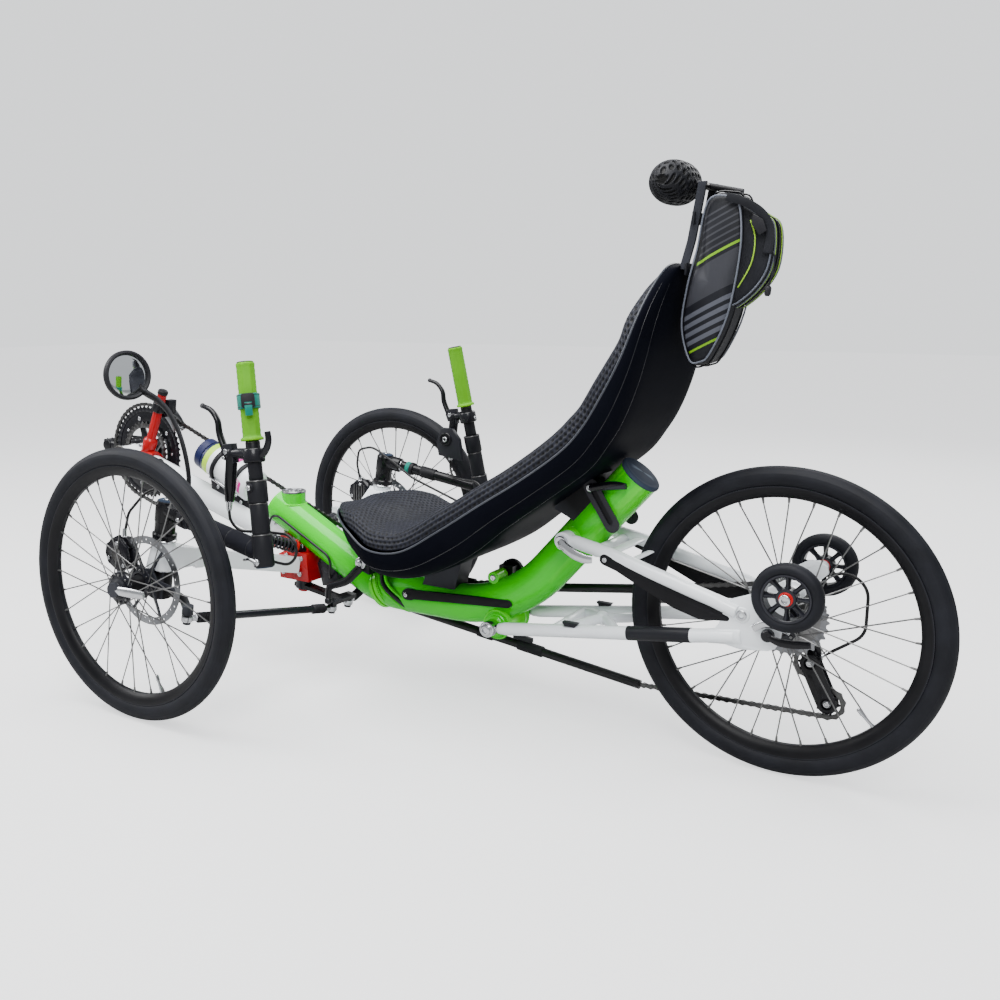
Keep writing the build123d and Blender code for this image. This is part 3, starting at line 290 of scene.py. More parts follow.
bottle_magenta = finish("bottle magenta", (0.5, 0.005, 0.2), (0.4, 0.004, 0.24), 0.4, shine=0.3)
clear_red = finish("red button", (0.65, 0.004, 0.004), (0.5, 0.003, 0.003), 0.35, shine=0.3)
mirror_silver = finish(
    "mirror glass", (0.8, 0.83, 0.85), (0.76, 0.79, 0.82), 0.03, metal=1.0, depth=0.0, spread=0.0)
print(len(bpy.data.materials), "finishes made")

# %% [markdown]
# ## Putting a piece together
# A real fitting is turned, bent, cut from plate or moulded. The same few ways of making are enough
# here: a skin over sections, a lathe shape, a bar along a line, and a flat plate with holes. Shapes
# are gathered with their finishes, then become one mesh with slightly rounded edges, because no real
# edge is perfectly sharp.

# %% outlines and smooth lines
def circle(u, v, radius, count=16, start=0.0):
    """A round outline in a plate's own plane."""
    return [(u + radius * cos(start + 2 * pi * i / count), v + radius * sin(start + 2 * pi * i / count))
            for i in range(count)]


def smooth(a, b, c, d, t):
    """The place at share t of the way from b to c on a smooth curve through all four."""
    return 0.5 * (2 * b + (c - a) * t + (2 * a - 5 * b + 4 * c - d) * t * t
                  + (3 * b - a - 3 * c + d) * t ** 3)


def filled(rows, steps):
    """Smoothly filled rows between given rows."""
    more = []
    for i in range(len(rows) - 1):
        around = (rows[max(i - 1, 0)], rows[i], rows[i + 1], rows[min(i + 2, len(rows) - 1)])
        more += [smooth(*around, k / steps) for k in range(steps)]
    return more + [rows[-1]]


def curved(points, steps=6):
    """A smooth line through a few places."""
    return filled([Vector(p) for p in points], steps)


def route(*places, side=1):
    """Places in millimetres from the rear hub, mirrored where side is -1."""
    return [spot(x, side * y, z) for x, y, z in places]


def flat_ring(inner, outer, half):
    """The profile of a plain ring between two radii, for a hoop."""
    return (inner, -half), (outer, -half), (outer, half), (inner, half)


def outboard(side, near, far):
    """A plate's low and high between two distances from the trike's middle."""
    return sorted((side * near, side * far))


def across_axis(axis):
    """Two directions square to an axis and to each other."""
    side = axis.orthogonal().normalized()
    return side, axis.cross(side)


def swollen(ends, more, count):
    """Radii of a bar that swells smoothly towards its middle."""
    return [ends + more * sin(pi * i / (count - 1)) for i in range(count)]


print("three places make a curve of", len(curved(((0, 0, 0), (1, 0, 0), (1, 1, 0)))), "places")

# %% a skin over sections
def outward(made):
    """Turns every face of a closed mesh outwards."""
    work = bmesh.new()
    work.from_mesh(made.data)
    bmesh.ops.recalc_face_normals(work, faces=work.faces)
    work.to_mesh(made.data)
    work.free()


class Shapes:
    """Shapes gathered one by one, each with its finish, that become one mesh."""

    def __init__(self, name):
        self.name = name
        self.points, self.faces, self.marks, self.coats = [], [], [], []

    def add(self, points, faces, coat):
        """One shape: its places in metres, its faces and its finish."""
        first = len(self.points)
        if coat not in self.coats:
            self.coats.append(coat)
        self.points += [tuple(p) for p in points]
        self.faces += [[first + i for i in face] for face in faces]
        self.marks += [self.coats.index(coat)] * len(faces)

    def copies(self, mesh, coat, place=Matrix.Identity(4)):
        """A mesh made elsewhere, set in its place."""
        self.add([place @ v.co for v in mesh.vertices], [list(f.vertices) for f in mesh.polygons], coat)

    def skin(self, sections, coat, ends=True, ring=False):
        """A skin over sections with the same number of places each."""
        count, rows = len(sections[0]), len(sections)
        faces = []
        for row in range(rows if ring else rows - 1):
            here, there = row * count, (row + 1) % rows * count
            faces += [(here + i, here + (i + 1) % count, there + (i + 1) % count, there + i)
                      for i in range(count)]
        if ends and not ring:
            faces += [tuple(range(count)), tuple(range((rows - 1) * count, rows * count))]
        self.add([p for section in sections for p in section], faces, coat)


sample = Shapes("sample")
sample.skin([circle(0, 0, 10, 6), circle(0, 0, 8, 6)], None)
print(len(sample.faces), "faces on a skin with six sides and two ends")


# %% lathe work and bars
class RoundWork(Shapes):
    """Shapes with the lathe and the bender."""

    def turned(self, centre, axis, profile, coat, segments=32):
        """A lathe shape from (along, radius) pairs in millimetres."""
        axis = Vector(axis).normalized()
        side, other = across_axis(axis)
        turns = [2 * pi * i / segments for i in range(segments)]
        self.skin([[centre + (axis * along + (side * cos(t) + other * sin(t)) * max(radius, 0.02)) * MM
                    for t in turns] for along, radius in profile], coat)

    def hoop(self, centre, profile, coat, segments=96, axis=LEFT):
        """A closed profile of (radius, out) pairs carried round an axle."""
        ahead = axis.orthogonal().normalized()
        up = axis.cross(ahead)
        sections = []
        for i in range(segments):
            spoke = ahead * cos(2 * pi * i / segments) + up * sin(2 * pi * i / segments)
            sections.append([centre + (spoke * radius + axis * out) * MM for radius, out in profile])
        self.skin(sections, coat, ring=True)

    def bar(self, line, radius, coat, segments=12, ring=False, up=None, flat=1.0, square=False):
        """A bar along a line: radius is one number, a start and an end, or one for each place.

        flat squeezes the bar along up, and square gives it four corners.
        """
        line = [Vector(p) for p in line]
        last, sections = len(line) - 1, []
        start, *_, end = radii = radius if isinstance(radius, (list, tuple)) else (radius, radius)
        if len(radii) == 2:
            radii = [start + (end - start) * i / last for i in range(len(line))]
        for i, (here, size) in enumerate(zip(line, radii)):
            before = line[i - 1] if i or ring else here
            after = line[(i + 1) % len(line)] if i < last or ring else here
            heading = (after - before).normalized()
            up = heading.orthogonal() if up is None else up
            up = (up - heading * up.dot(heading)).normalized()
            side = heading.cross(up)
            if square:
                shape = ((1, 1), (1, -1), (-1, -1), (-1, 1))
            else:
                turns = [2 * pi * k / segments for k in range(segments)]
                shape = [(cos(t), sin(t)) for t in turns]
            sections.append([here + (side * a + up * b * flat) * size * MM for a, b in shape])
        self.skin(sections, coat, ring=ring)


sample = RoundWork("sample")
sample.turned(spot(0, 0, 0), (0, 0, 1), ((0, 5), (9, 5)), None)
print(len(sample.faces), "faces on a plain lathe shape")


# %% plates, bolts and the whole piece
BEVELLED_FROM = 35


class Piece(RoundWork):
    """Every way of making in one, and the mesh at the end."""

    def plate(self, loops, low, high, coat, place=across):
        """A flat plate: an outline, and its holes if it has any, thick from low to high."""
        corners = [p for loop in loops for p in loop]
        count = len(corners)
        if len(loops) == 1:
            caps = [tuple(range(count))]
        else:
            caps = tessellate_polygon([[Vector((u, v, 0)) for u, v in loop] for loop in loops])
        faces = [tuple(cap) for cap in caps] + [tuple(i + count for i in cap)[::-1] for cap in caps]
        first = 0
        for loop in loops:
            size = len(loop)
            faces += [(first + i, first + (i + 1) % size, first + (i + 1) % size + count, first + i + count)
                      for i in range(size)]
            first += size
        self.add([place(u, v, w) for w in (low, high) for u, v in corners], faces, coat)

    def ball(self, centre, radius, coat, rings=10, segments=18):
        """A ball, turned about the vertical."""
        profile = [(-radius * cos(pi * i / rings), radius * sin(pi * i / rings)) for i in range(rings + 1)]
        self.turned(centre, (0, 0, 1), profile, coat, segments)

    def bolt(self, centre, axis, radius, coat, head=3.0, socket=True):
        """A bolt head with a rounded rim and a hex socket, or a plain hex nut."""
        socketed = ((0, 1), (0.7, 1), (1, 0.82), (1, 0.5), (0.4, 0.45), (0.4, 0))
        nut = ((0, 1), (0.85, 1), (1, 0.9), (1, 0.45), (1.3, 0.4), (1.3, 0))
        profile = [(head * along, radius * size) for along, size in (socketed if socket else nut)]
        self.turned(centre, axis, profile, coat, 18 if socket else 6)

    def plain(self):
        """The shapes as one mesh without finishes, for parts that are copied."""
        mesh = bpy.data.meshes.new(self.name)
        mesh.from_pydata(self.points, [], self.faces)
        return mesh

    def turned_out(self, side, place, profile, coat, segments=32):
        """A lathe shape that stands straight out from one side of the trike."""
        self.turned(route(place, side=side)[0], LEFT * side, profile, coat, segments)

    def bolt_out(self, side, place, radius, coat, head=3.0, socket=True):
        """A bolt or nut that stands straight out from one side of the trike."""
        self.bolt(route(place, side=side)[0], LEFT * side, radius, coat, head, socket)

    def build(self, body, slot, *nodes, bevel=0.0, sharp=35):
        """Makes the mesh, rounds its edges and sets it on its body."""
        mesh = self.plain()
        for coat in self.coats:
            mesh.materials.append(coat)
        mesh.polygons.foreach_set("material_index", self.marks)
        made = add_object(self.name, mesh)
        outward(made)
        if bevel:
            rounding = made.modifiers.new("rounded edges", "BEVEL")
            rounding.width, rounding.segments = bevel * MM, 2
            rounding.limit_method, rounding.angle_limit = "ANGLE", radians(BEVELLED_FROM)
            apply_all(made)
        return settle(made, body, slot, *nodes, sharp=sharp)


sample = Piece("sample")
sample.bolt(spot(0, 0, 0), (0, 0, 1), 5, None)
print(len(sample.faces), "faces on a bolt head, and edges are rounded from", BEVELLED_FROM, "degrees")


# %% mesh, body and finish
SMOOTH_UP_TO = 35


def apply_all(made):
    """Turns an object's modifiers into plain mesh."""
    graph = bpy.context.evaluated_depsgraph_get()
    final = bpy.data.meshes.new_from_object(made.evaluated_get(graph), depsgraph=graph)
    made.modifiers.clear()
    made.data = final


def settle(made, body, slot, *nodes, sharp=SMOOTH_UP_TO):
    """Smooth shading up to an angle, then the piece's body and the solids it stands for. The slot is not
    used.
    """
    made.data.shade_smooth()
    made.data.set_sharp_from_angle(angle=radians(sharp))
    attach(made, body)
    if nodes:
        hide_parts(*nodes)
    made.data.calc_loop_triangles()
    print(f"{made.name}: {len(made.data.loop_triangles)} triangles on {body}")
    return made


def dress(coat, *nodes):
    """Gives solids whose own shape is right a better finish."""
    for node in nodes:
        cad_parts[node].data.materials.clear()
        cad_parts[node].data.materials.append(coat)
    print(coat.name, "on", ", ".join(nodes))


print("faces meet smoothly up to", SMOOTH_UP_TO, "degrees")

# %% [markdown]
# ## Copying small parts
# Spokes, sprocket teeth and chain links are all the same part many times over. Two small node trees
# do the copying: one sets copies round an axle, the other hangs them along a line at a fixed pitch.
# One tooth or one link is modelled, so every copy is as good as the first.

# %% copies round an axle
def new_tree(name, sockets):
    """An empty node tree with named inputs, its group input and output nodes."""
    tree = bpy.data.node_groups.new(name, "GeometryNodeTree")
    for label, kind in sockets:
        tree.interface.new_socket(label, in_out="INPUT", socket_type=kind)
    tree.interface.new_socket("Copies", in_out="OUTPUT", socket_type="NodeSocketGeometry")
    return tree, tree.nodes.new("NodeGroupInput"), tree.nodes.new("NodeGroupOutput")


def sum_node(tree, operation, first, second):
    """A maths node on two sockets or numbers."""
    node = tree.nodes.new("ShaderNodeMath")
    node.operation = operation
    for socket, value in zip(node.inputs, (first, second)):
        if isinstance(value, (int, float)):
            socket.default_value = value
        else:
            tree.links.new(value, socket)
    return node.outputs[0]


def copies_of(tree, given, result, points, unit, turning, chosen=None):
    """Ends a tree: a copy on each chosen point, made into real mesh, with its finish."""
    link = tree.links.new
    copier = tree.nodes.new("GeometryNodeInstanceOnPoints")
    link(points, copier.inputs["Points"])
    link(unit, copier.inputs["Instance"])
    link(turning, copier.inputs["Rotation"])
    if chosen:
        link(chosen, copier.inputs["Selection"])
    solid = tree.nodes.new("GeometryNodeRealizeInstances")
    link(copier.outputs[0], solid.inputs[0])
    painted = tree.nodes.new("GeometryNodeSetMaterial")
    link(solid.outputs[0], painted.inputs["Geometry"])
    link(given.outputs["Finish"], painted.inputs["Material"])
    link(painted.outputs[0], result.inputs[0])
    print(f"{tree.name}: inputs", [s.name for s in tree.interface.items_tree])


round_tree, given, result = new_tree("copies round an axle", (
    ("Unit", "NodeSocketGeometry"), ("Count", "NodeSocketInt"), ("Finish", "NodeSocketMaterial")))
link = round_tree.links.new
places = round_tree.nodes.new("GeometryNodePoints")
link(given.outputs["Count"], places.inputs["Count"])
number = round_tree.nodes.new("GeometryNodeInputIndex")
step = sum_node(round_tree, "DIVIDE", 2 * pi, given.outputs["Count"])
angle = sum_node(round_tree, "MULTIPLY", number.outputs[0], step)
turned_by = round_tree.nodes.new("ShaderNodeCombineXYZ")
link(angle, turned_by.inputs["Y"])
copies_of(round_tree, given, result, places.outputs[0], given.outputs["Unit"], turned_by.outputs[0])

# %% copies along a line
line_tree, given, result = new_tree("copies along a line", (
    ("Line", "NodeSocketGeometry"), ("Unit", "NodeSocketObject"), ("Pitch", "NodeSocketFloat"),
    ("First", "NodeSocketInt"), ("Every", "NodeSocketInt"), ("Finish", "NodeSocketMaterial")))
link = line_tree.links.new
as_curve = line_tree.nodes.new("GeometryNodeMeshToCurve")
link(given.outputs["Line"], as_curve.inputs["Mesh"])
spaced = line_tree.nodes.new("GeometryNodeCurveToPoints")
spaced.mode = "LENGTH"
link(as_curve.outputs[0], spaced.inputs["Curve"])
link(given.outputs["Pitch"], spaced.inputs["Length"])
number = line_tree.nodes.new("GeometryNodeInputIndex")
shifted = sum_node(line_tree, "ADD", number.outputs[0], given.outputs["First"])
left_over = sum_node(line_tree, "MODULO", shifted, given.outputs["Every"])
chosen = sum_node(line_tree, "LESS_THAN", left_over, 0.5)
unit_of = line_tree.nodes.new("GeometryNodeObjectInfo")
link(given.outputs["Unit"], unit_of.inputs["Object"])
heading = line_tree.nodes.new("FunctionNodeAlignRotationToVector")
heading.axis = "X"
heading.pivot_axis = "Y"
link(spaced.outputs["Tangent"], heading.inputs["Vector"])
copies_of(line_tree, given, result, spaced.outputs["Points"], unit_of.outputs["Geometry"],
          heading.outputs["Rotation"], chosen)


# %% running a copying tree
def repeated(tree, mesh, **values):
    """Runs a tree on a mesh with the named values and returns one plain mesh."""
    holder = add_object("holder", mesh)
    worker = holder.modifiers.new("copies", "NODES")
    worker.node_group = tree
    for item in tree.interface.items_tree:
        if item.name in values:
            worker[item.identifier] = values[item.name]
    apply_all(holder)
    final = holder.data
    bpy.data.objects.remove(holder)
    return final


def set_round(piece, unit, count, coat, place, hand=1):
    """Adds a part modelled about the origin to a piece, copied round the axle at a place."""
    there = Matrix.Translation(place) @ Matrix.Diagonal((1, hand, 1, 1))
    piece.copies(repeated(round_tree, unit.plain(), Count=count, Finish=coat), coat, there)


def upright(u, v, w):
    """A place about the origin, for parts that are copied round an axle."""
    return Vector((u, w, v)) * MM


print("a tooth's tip 30 mm out is kept at", round(upright(30, 0, 0).x, 3), "m")

# %% [markdown]
# ## Wheels
# All three wheels are small and built the usual way: a black alloy rim, crossed steel spokes with
# nipples, a turned hub with two flanges, and a smooth road tyre. The tyre is a round section with
# shallow grooves on its tread and moulded ribs on its walls; rims and hubs are lathe work.

# %% tyre section
def tyre_section(steps=60):
    """The tyre's outline as (radius, out) pairs, from one bead over the crown to the other."""
    half = TYRE_WIDTH / 2
    middle = WHEEL_RADIUS - half
    section = []
    for i in range(steps + 1):
        lean = -40 + 260 * i / steps
        from_top = abs(lean - 90)
        relief = 0.0
        if 15 < from_top < 18 or 31 < from_top < 34:
            relief = -0.6
        if 62 < from_top < 66 or 78 < from_top < 82 or 92 < from_top < 95:
            relief = 0.45
        reach = half - 0.5 + relief
        section.append((middle + reach * sin(radians(lean)), reach * cos(radians(lean))))
    return section + [(208.5, -9.5), (208.5, 9.5)]


print(len(tyre_section()), "places round the tyre's section")

# %% rim section and spokes
RIM_SECTION = ((192, -3.5), (192, 3.5), (194, 6), (199, 10.5), (204, 12.2), (208.6, 13.2), (210.2, 13),
               (210.2, 11.6), (206, 10.4), (203, 5), (203, -5), (206, -10.4), (210.2, -11.6),
               (210.2, -13), (208.6, -13.2), (204, -12.2), (199, -10.5), (194, -6))
SPOKES = 32


def spoke_unit(flange_in, flange_out):
    """Four neighbouring spokes with their nipples; eight such groups fill a wheel."""
    unit = Piece("four spokes")
    for i in range(4):
        rim_turn = 2 * pi * i / SPOKES
        flange = flange_in if i % 2 else flange_out
        hand = 1 if (i // 2) % 2 else -1
        hub_turn = rim_turn + hand * radians(45)
        pull = 2 if flange > 0 else -2
        foot = upright(24 * cos(hub_turn), 24 * sin(hub_turn), flange + hand * 2.4)
        elbow = upright(25.2 * cos(hub_turn), 25.2 * sin(hub_turn), flange + hand * 2.6)
        through = upright(24 * cos(hub_turn), 24 * sin(hub_turn), flange - hand * 3.4)
        nipple = upright(184 * cos(rim_turn), 184 * sin(rim_turn), pull * 1.1)
        tip = upright(194 * cos(rim_turn), 194 * sin(rim_turn), pull)
        unit.bar((through, foot, elbow, nipple, tip), (1.3, 1.3, 1.15, 1.15, 1.15), silver, 6)
        unit.bar((nipple, nipple.lerp(tip, 0.75), tip), (1.7, 2.1, 2.3), silver, 8)
        unit.turned(through, (0, -hand, 0), ((0, 2.3), (1.2, 2.0), (1.4, 0)), silver, 8)
    return unit


print(len(spoke_unit(-20, 24).faces), "faces on four spokes")


# %% three wheels
def wheel_piece(name, body, place, hand, flanges, hub, valve_turn, nodes):
    """Rim, spokes, hub and valve about one axle; hand mirrors the wheel for the other side."""
    made = Piece(name)
    made.hoop(place, RIM_SECTION, black_satin, 120)
    set_round(made, spoke_unit(*flanges), SPOKES // 4, dark_steel, place, hand)
    made.turned(place, LEFT * hand, hub, black_satin, 40)
    for flange in flanges:
        ring = ((17, flange - 2.2), (27, flange - 1.8), (28.5, flange - 1), (28.5, flange + 1),
                (27, flange + 1.8), (17, flange + 2.2))
        made.hoop(place, [(r, hand * out) for r, out in ring], black_gloss, 48)
    to_rim = Vector((cos(valve_turn), 0, sin(valve_turn)))
    stem = [(0, 3.2), (4, 3.2), (4, 2.6), (22, 2.6), (22, 3.4), (31, 3.0), (33, 1.2), (33, 0)]
    made.turned(place + to_rim * 193 * MM, -to_rim, stem, silver, 14)
    return made.build(body, "black_alloy", *nodes, sharp=30)


def tyre_piece(name, body, place, nodes):
    """A tyre about one axle."""
    made = Piece(name)
    made.hoop(place, tyre_section(), tyre_rubber, 144)
    return made.build(body, "tyre_rubber", *nodes, sharp=50)


FRONT_HUB = ((-42, 9.4), (-42, 15), (-34, 17), (-23, 17.5), (-18, 15), (-6, 13.5), (10, 13.5), (21, 15),
             (27, 17.5), (31, 16.5), (34, 12), (34, 9.4))
REAR_HUB = ((-66.3, 5.5), (-66.3, 9), (-60, 12), (-30, 16), (-27, 17), (-22, 14.5), (-8, 13), (8, 13),
            (22, 14.5), (27, 17), (40, 14), (60, 13), (66.3, 9), (66.3, 5.5))
for side_name, hand in SIDES:
    hub_place = spot(WHEELBASE, hand * HALF_TRACK, WHEEL_RADIUS)
    wheel_piece(f"spoked_wheel_{side_name}", f"wheel_{side_name}", hub_place, hand, (-20, 24), FRONT_HUB,
                radians(250), (f"wheel_{side_name}",))
    tyre_piece(f"road_tyre_{side_name}", f"wheel_{side_name}", hub_place, (f"tyre_{side_name}",))
rear_place = spot(0, 0, WHEEL_RADIUS)
wheel_piece("spoked_wheel_rear", "wheel_rear", rear_place, -1, (-24, 24), REAR_HUB, radians(225),
            ("wheel_rear",))
tyre_piece("road_tyre_rear", "wheel_rear", rear_place, ("tyre_rear",))


# %% [markdown]
# The brake discs are stamped from steel sheet: a drilled braking band on a black spider. One twelfth
# of the band with its three holes is cut as a plate and copied round.

# %% brake discs
def sector(inner, outer, half_turn, steps=4):
    """An outline between two radii, as wide as one copy of a ring."""
    turns = [half_turn * (2 * i / steps - 1) for i in range(steps + 1)]
    return ([(outer * cos(t), outer * sin(t)) for t in turns]
            + [(inner * cos(t), inner * sin(t)) for t in reversed(turns)])


for side_name, hand in SIDES:
    disc = Piece(f"brake_disc_{side_name}")
    at = spot(WHEELBASE, hand * DISC_OUT, WHEEL_RADIUS)
    band = Piece("disc band")
    holes = [circle(radius * cos(t), radius * sin(t), size, 8)
             for radius, t, size in ((70, -0.16, 1.9), (74, 0.0, 2.2), (70, 0.16, 1.9))]
    band.plate([sector(66.5, 80, pi / 12)] + holes, -0.9, 0.9, steel, upright)
    set_round(disc, band, 12, steel, at)
    arm = Piece("disc arm")
    arm.plate([((20, -6), (30, -3), (55, 1), (68, 4), (69, 9), (66, 9), (52, 6), (30, 4), (20, 6))],
              -1, 1, black_satin, upright)
    set_round(disc, arm, 6, black_satin, at)
    disc.hoop(at, flat_ring(14.2, 22, 2), black_satin, 48)
    disc.build(f"wheel_{side_name}", "steel", f"rotor_{side_name}")

# %% [markdown]
# ## Seat shell
# The shell is a deep, narrow dish laid up from one skin of glossy black gelcoat: a pan, a tight turn
# under the hips and a long back. It is described by stations from its nose to its top. Each gives the
# rim, the keel under it, both half widths and how far the pad stands over the rim. Its edge carries a
# grey rubber bead, and two faint creases run along each side where the moulds met.

# %% stations of the seat
STATIONS = np.array((
    (804, 339, 8, 797, 331, 6, 3), (800, 339, 44, 791, 323, 30, 9), (792, 338, 74, 783, 318, 46, 14),
    (760, 334, 114, 750, 296, 70, 20), (716, 322, 148, 704, 264, 84, 24), (660, 297, 165, 652, 243, 90, 24),
    (590, 303, 168, 575, 251, 92, 24), (510, 350, 168, 480, 298, 92, 24), (435, 400, 168, 405, 358, 92, 24),
    (364, 446, 168, 334, 412, 92, 24), (297, 496, 168, 267, 464, 90, 24), (262, 535, 167, 236, 504, 90, 24),
    (234, 582, 166, 211, 548, 88, 24), (207, 639, 161, 190, 612, 82, 22), (190, 700, 142, 175, 692, 74, 18),
    (183, 742, 105, 169, 738, 58, 14), (181, 772, 54, 168, 771, 34, 8), (181, 780, 10, 172, 779, 8, 3)),
    dtype=float)


def station_place(row, out, rise):
    """A place over a station: out from the middle, rise from the rim away from the keel."""
    away = np.array((row[0] - row[3], row[1] - row[4]))
    away = away / np.hypot(*away)
    x, z = row[0] + away[0] * rise, row[1] + away[1] * rise
    return spot(x, out, z)


def shell_wall(row, share, thick):
    """Out and rise of the shell's wall, share 0 at the rim and 1 on the keel's flat."""
    depth = float(np.hypot(row[0] - row[3], row[1] - row[4]))
    drop = sin(share * pi / 2) ** 0.9
    out = row[5] + (row[2] - row[5]) * cos(share * pi / 2) ** 0.72
    return out - thick * (1 - 0.3 * share), -(depth - thick) * drop if thick else -depth * drop


print(len(STATIONS), "stations from the seat's nose to its top")

# %% the shell
WALL_STEPS = [i / 14 for i in range(15)]
fine_stations = filled(STATIONS, 8)
shell = Piece("seat_dish")
sections = []
for row in fine_stations:
    outer = [shell_wall(row, share, 0) for share in WALL_STEPS]
    inner = [shell_wall(row, share, 3.6) for share in WALL_STEPS]
    half = outer + [(out * k, rise) for (out, rise), k in ((outer[-1], 0.66), (outer[-1], 0.33))]
    whole = half + [(-out, rise) for out, rise in reversed(half)]
    within = inner + [(out * k, rise) for (out, rise), k in ((inner[-1], 0.66), (inner[-1], 0.33))]
    whole += [(-out, rise) for out, rise in within] + list(reversed(within))
    sections.append([station_place(row, out, rise) for out, rise in whole])
shell.skin(sections, shell_gloss)
shell.build("frame", "shell_black", "seat_shell", sharp=50)

# %% bead and crease
trim = Piece("seat_bead")
rim_left = [station_place(row, row[2] - 1.2, 0.6) for row in fine_stations[2:-2]]
rim_right = [station_place(row, -row[2] + 1.2, 0.6) for row in fine_stations[2:-2]]
trim.bar(rim_left + list(reversed(rim_right)), 1.9, bead_grey, 8, ring=True)
for hand in (1, -1):
    for share, size in ((0.36, 0.75), (0.78, 0.6)):
        crease = []
        for row in fine_stations[20:-14]:
            out, rise = shell_wall(row, share, 0)
            crease.append(station_place(row, hand * (out + 0.1), rise))
        trim.bar(crease, [size * min(1, 0.2 + i / 20, 0.2 + (len(crease) - 1 - i) / 20)
                          for i in range(len(crease))], crease_grey, 6)
trim.build("frame", "shell_black", sharp=60)

# %% [markdown]
# ## Seat pad
# The pad is a thick slab of spacer mesh with a rolled edge that stands a finger's width over the
# shell. It is cut as one closed cover, blown up a little by its springy filling, and only then gets
# its open honeycomb of cells, because the cells are knitted into the finished cloth. Hole and strand
# are real relief, and the same pattern paints shade into the holes.


# %% filling a cover
FILL_FRAMES = 20


def swell(made, pressure, cap, frames=FILL_FRAMES):
    """Lets a closed cover swell as its filling pushes, no point further than the cap in metres."""
    before = np.array([v.co for v in made.data.vertices])
    filling = made.modifiers.new("filling", "CLOTH")
    filling.settings.use_pressure = True
    filling.settings.uniform_pressure_force = pressure
    filling.settings.effector_weights.gravity = 0
    for moment in range(1, frames + 1):
        bpy.context.scene.frame_set(moment)
    graph = bpy.context.evaluated_depsgraph_get()
    after = np.array([v.co for v in made.evaluated_get(graph).data.vertices])
    made.modifiers.clear()
    bpy.context.scene.frame_set(1)
    move = after - before
    far = np.linalg.norm(move, axis=1, keepdims=True)
    move *= np.minimum(1, cap / np.maximum(far, 1e-9))
    made.data.vertices.foreach_set("co", (before + move).ravel())
    made.data.update()
    print(f"{made.name}: swelled by up to {1000 * np.linalg.norm(move, axis=1).max():.1f} mm")


print("covers fill over", FILL_FRAMES, "frames")


# %% honeycomb relief
def smooth_step(values, low, high):
    """0 at low and 1 at high, with no kink at either end."""
    share = np.clip((values - low) / (high - low), 0, 1)
    return share * share * (3 - 2 * share)


def honeycomb(u, v, pitch):
    """1 on the strands and 0 in the holes of an open hexagonal mesh."""
    k = 4 * pi / (sqrt(3) * pitch)
    waves = sum(np.cos(k * (u * cos(t) + v * sin(t))) for t in (0, pi / 3, 2 * pi / 3))
    return smooth_step(waves, 1.25, -0.35)


def knit(made, pitch, rise, hole, coat):
    """Raises a honeycomb on a mesh by its UVs and stores it for the finish."""
    mesh = made.data
    loops = np.empty(len(mesh.loops), int)
    mesh.loops.foreach_get("vertex_index", loops)
    flat = np.empty(len(mesh.loops) * 2)
    mesh.uv_layers[0].data.foreach_get("uv", flat)
    where = np.zeros((len(mesh.vertices), 2))
    where[loops] = flat.reshape(-1, 2)
    strand = honeycomb(where[:, 0], where[:, 1], pitch)
    away = np.empty(len(mesh.vertices) * 3)
    mesh.vertices.foreach_get("normal", away)
    place = np.empty(len(mesh.vertices) * 3)
    mesh.vertices.foreach_get("co", place)
    lift = (strand * (rise + hole) - hole)[:, None]
    mesh.vertices.foreach_set("co", (place.reshape(-1, 3) + away.reshape(-1, 3) * lift).ravel())
    mark = mesh.attributes.new("strand", "FLOAT", "POINT")
    mark.data.foreach_set("value", strand.astype(np.float32))
    mesh.materials.clear()
    mesh.materials.append(coat)
    mesh.update()


def mesh_finish(name, hole_shade_colour, strand_colour):
    """Knitted mesh: the stored pattern paints shade into the holes with a near-black hole colour."""
    made = finish(name, strand_colour, tuple(c * 0.6 for c in strand_colour), 0.55, cloud=60,
                  grain=2200, depth=0.0002, shine=0.2)
    nodes, link = made.node_tree.nodes, made.node_tree.links.new
    pattern = nodes.new("ShaderNodeAttribute")
    pattern.attribute_name = "strand"
    # painted shade: the holes get the near-black hole colour, the strands their own colour
    shade_in_holes = mixed(made, pattern.outputs["Fac"], hole_shade_colour, node_of(made, "ShaderNodeMixRGB").outputs[0])
    link(shade_in_holes, nodes["Principled BSDF"].inputs["Base Color"])
    return made


print("from a hole to a strand:", honeycomb(np.array((0, 1, 2)), 0, 4).round(2))


# %% the pad's cover
def cover(name, sections, spacing):
    """A closed cover over sections, with UVs in metres along and around it."""
    grid = np.array([[tuple(p) for p in section] for section in sections])
    rows, count = grid.shape[:2]
    around = np.linalg.norm(np.roll(grid, -1, axis=1) - grid, axis=2)
    middle = np.linalg.norm(np.diff(grid.mean(axis=1), axis=0), axis=1)
    along = np.concatenate(([0], np.cumsum(middle)))
    start = np.cumsum(around, axis=1) - around
    start -= start[:, count // 4][:, None]
    faces, flat = [], []
    for row in range(rows - 1):
        for i in range(count):
            j = (i + 1) % count
            faces.append((row * count + i, row * count + j, (row + 1) * count + j, (row + 1) * count + i))
            for r, k in ((row, i), (row, i + 1), (row + 1, i + 1), (row + 1, i)):
                flat += [start[r, k % count] if k < count else start[r, -1] + around[r, -1], along[r]]
    caps = [tuple(range(count)), tuple(range((rows - 1) * count, rows * count))]
    faces += caps
    flat += [0.0] * 4 * count
    mesh = bpy.data.meshes.new(name)
    mesh.from_pydata(grid.reshape(-1, 3).tolist(), [], faces)
    mesh.uv_layers.new(name="cloth").data.foreach_set("uv", flat)
    made = add_object(name, mesh)
    print(f"{name}: {rows} by {count} cover, {spacing}")
    return made


def refine(made, levels):
    """Smoothly divides a mesh."""
    divider = made.modifiers.new("finer", "SUBSURF")
    divider.levels = divider.render_levels = levels
    apply_all(made)


